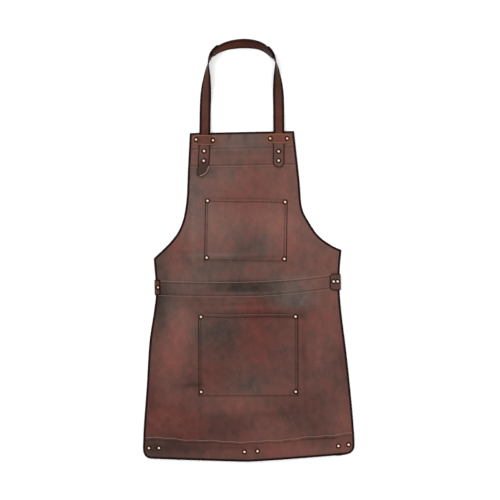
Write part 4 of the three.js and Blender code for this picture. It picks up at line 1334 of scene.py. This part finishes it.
snap_seats = np.array([(x, y, FRONT_Z + WAIST_STRAP / 2 - BURR_SUNK) for x, y in snaps])
snap_up = {"facing": np.tile(UP, (2, 1)), "size": np.ones(2)}
snap_caps = grown("snap_caps", RIVETS, snap_seats, snap_up, head(HEAD_R, HEAD_HEIGHT, brass))
snap_floor = np.array([(x, y, float(hide_top(x, y)) + BURR_SUNK) for x, y in snaps])
snap_posts = grown("snap_posts", RIVETS, snap_floor, snap_up, head(POST_R, POST_HEIGHT, brass, 20))

# %% [markdown]
# ## Stitches
#
# Thick waxed thread shows as a row of short bars, each sunk at both ends. A tree walks every seam
# line, drops a bar at each stitch length and turns it along the seam, with its flat side to the
# leather. Hundreds repeat, so each is a tiny ball of twenty-four faces, stretched.


# %% The stitch tree
def stitch_tree():
    inputs = [("Stitch Length", "NodeSocketFloat", 0.0042), ("Thread Width", "NodeSocketFloat", 0.0011),
              ("Thread", "NodeSocketMaterial", None)]
    tree, given, result = new_tree("saddle_stitches", inputs)
    node = partial(tree_node, tree)
    stitch, width = given.outputs["Stitch Length"], given.outputs["Thread Width"]
    path = node("GeometryNodeMeshToCurve", [("Mesh", given)])
    spaced = node("GeometryNodeResampleCurve", [("Curve", path), ("Length", stitch)],
                       mode="LENGTH")
    tangent = node("GeometryNodeInputTangent")
    along_seam = node("FunctionNodeAlignRotationToVector", [("Vector", tangent)], axis="X")
    facing = stored(tree, "facing", "FLOAT_VECTOR")
    flat_down = node("FunctionNodeAlignRotationToVector",
                          [("Rotation", along_seam), ("Vector", facing)], axis="Z", pivot_axis="X")
    bar = node("GeometryNodeMeshUVSphere", [("Segments", 6), ("Rings", 4), ("Radius", 1.0)])
    half = node("ShaderNodeMath", [(0, stitch), (1, 0.4)], operation="MULTIPLY")
    thin = node("ShaderNodeMath", [(0, width), (1, 0.5)], operation="MULTIPLY")
    size = node("ShaderNodeCombineXYZ", [("X", half), ("Y", thin), ("Z", thin)])
    thread = node("GeometryNodeTransform", [("Geometry", bar), ("Scale", size)])
    return grow_copies(tree, result, given.outputs["Thread"], spaced, thread, flat_down)


STITCHES = stitch_tree()
THREAD_DARK, THREAD_PALE = (0.035, 0.014, 0.009, 1), (0.11, 0.045, 0.028, 1)
thread_recipe = Recipe("waxed_thread")
twist = thread_recipe.noise(1400.0, 2.0, 0.6)
thread_color = thread_recipe.mix(thread_recipe.spread(twist, 0.3, 0.7), THREAD_DARK, THREAD_PALE)
waxed_thread = thread_recipe.finish(thread_color, 0.5, thread_recipe.bump(twist, 0.0001))

# %% Seam lines
PAD_SEAM_OUT = 11.4                         # from the pad's middle to each of its seams
BAND_SEAM_END = 5.0                         # from a band's end to where its seams stop
PAD_SEAM_END = 7                            # from the pad's end to where its seams stop
HEM_SEAM_END, HEM_SEAM_Y = 4, 66.0          # the same for the hem band, and its seam's height there
SEAM_SIDE = 230.0                           # where a band's height at its ends is read
THREAD_UP = 0.22                            # how far the thread stands up from the groove


def seam_on(x, y):
    return np.column_stack([x, y, ply_top(x, y) - SEAM_DEPTH + THREAD_UP])


def band_seam(low, high, rise):
    """A seam across a band, at a distance above its lower line, inside its ends."""
    x0 = float(edge_x("left", float(low(-SEAM_SIDE)) + rise)) + BAND_SEAM_END
    x1 = float(edge_x("right", float(low(SEAM_SIDE)) + rise)) - BAND_SEAM_END
    x = np.linspace(x0, x1, 160)
    return seam_on(x, between(low(x), high(x), rise / float(high(0.0) - low(0.0))))


def pocket_seams(spec):
    """The seam down, across and up a pocket, and the one along its mouth."""
    half_x, half_y = spec["width"] / 2 - POCKET_SEAM, spec["height"] / 2
    down = np.linspace(half_y - 1.5, -half_y + SEAM_IN, 60)
    over = np.linspace(-half_x, half_x, 80)
    three_sides = [(-half_x, y) for y in down] + [(x, down[-1]) for x in over[1:]]
    three_sides += [(half_x, y) for y in down[-2::-1]]
    mouth = [(x, half_y - MOUTH_FOLD) for x in over]
    lines = []
    for local in (np.array(three_sides), np.array(mouth)):
        px, py, pz = pocket_surface(spec, local[:, 0], local[:, 1])
        lines.append(np.column_stack([px, py, pz + 0.2]))
    return lines


def hem_seam():
    x0 = edge_x("left", HEM_SEAM_Y) + HEM_SEAM_END
    x1 = edge_x("right", HEM_SEAM_Y) - HEM_SEAM_END
    x = np.linspace(x0, x1, 180)
    return seam_on(x, hem_top(x) - HEM_SEAM)


def pad_seam(offset):
    reach = PAD_HALF - PAD_SEAM_END
    run = np.linspace(loop_middle - reach, loop_middle + reach, 80)
    middle, heading, face = loop_frames(run, pad_offset)
    out = middle - face * (PAD_THICK / 2 - 0.2 - SEAM_DEPTH + 0.35)
    return out + np.cross(heading, -face) * offset, -face


yoke_seams = [band_seam(level(yoke_low), level(BODY_LENGTH - EDGE_INSET), rise) for rise in YOKE_SEAMS]
waist_seams = [band_seam(waist_low, waist_high, rise) for rise in WAIST_SEAMS]
seam_sets = {"bib": yoke_seams + waist_seams + pocket_seams(CHEST),
             "skirt": [hem_seam()] + pocket_seams(SKIRT)}
thread_pieces = {}
thread_inputs = {"Stitch Length": 4.2 * MM, "Thread Width": 1.1 * MM, "Thread": waxed_thread}


def sew(body, lines, facings):
    edges, start = [], 0
    for line in lines:
        edges += [(start + i, start + i + 1) for i in range(len(line) - 1)]
        start += len(line)
    marks = {"facing": np.vstack(facings)}
    piece = grown(f"stitches_{body}", STITCHES, np.vstack(lines), marks, thread_inputs, edges)
    print(body, "stitches:", len(piece.data.polygons) // 24)
    return piece


for body, lines in seam_sets.items():
    thread_pieces[body] = sew(body, lines, [np.tile(UP, (len(line), 1)) for line in lines])
pad_lines, pad_facings = zip(*(pad_seam(offset) for offset in (-PAD_SEAM_OUT, PAD_SEAM_OUT)))
thread_pieces["neck_loop"] = sew("neck_loop", pad_lines, pad_facings)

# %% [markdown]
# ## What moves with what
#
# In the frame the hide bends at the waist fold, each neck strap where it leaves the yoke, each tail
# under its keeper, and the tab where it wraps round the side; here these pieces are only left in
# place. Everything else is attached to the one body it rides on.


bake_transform(hide)
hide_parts("main_panel_upper", "main_panel_lower")

for piece, body, node, finish in (
    (yoke, "bib", "yoke", "trim_leather"), (waist_band, "bib", "waist_band", "trim_leather"),
    (hem, "skirt", "hem_band", "trim_leather"), (chest_pocket, "bib", "chest_pocket", "pocket_leather"),
    (skirt_pocket, "skirt", "skirt_pocket", "pocket_leather"),
    (keepers["left"], "bib", "keeper_left", "keeper_leather"),
    (keepers["right"], "bib", "keeper_right", "keeper_leather"),
    (neck_pad, "neck_loop", "neck_pad", "pad_leather"), (waist_strap, "bib", "waist_strap", "strap_leather"),
):
    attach(piece, body)
    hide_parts(node)

for side in YOKE_STRAPS:
    strap, tail = neck_straps[side], tails[side]
    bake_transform(strap)
    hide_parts(f"neck_strap_{side}", f"neck_strap_{side}_base")
    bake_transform(tail)
    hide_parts(f"neck_strap_{side}_tail")

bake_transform(waist_tab)
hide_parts("waist_tab")

rivet_nodes = {body: [n for n in members if "rivet" in n or "stud" in n]
               for body, members in frame["record"]["behaviour"]["bodies"].items()}
for body, piece in heads.items():
    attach(piece, body)
    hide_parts(*rivet_nodes[body])
    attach(backs[body], body)
for piece, body, kind in ((snap_caps, "waist_tab", "cap"), (snap_posts, "bib", "post")):
    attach(piece, body)
    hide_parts(f"waist_snap_{kind}_1", f"waist_snap_{kind}_2")
for body, piece in thread_pieces.items():
    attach(piece, body)
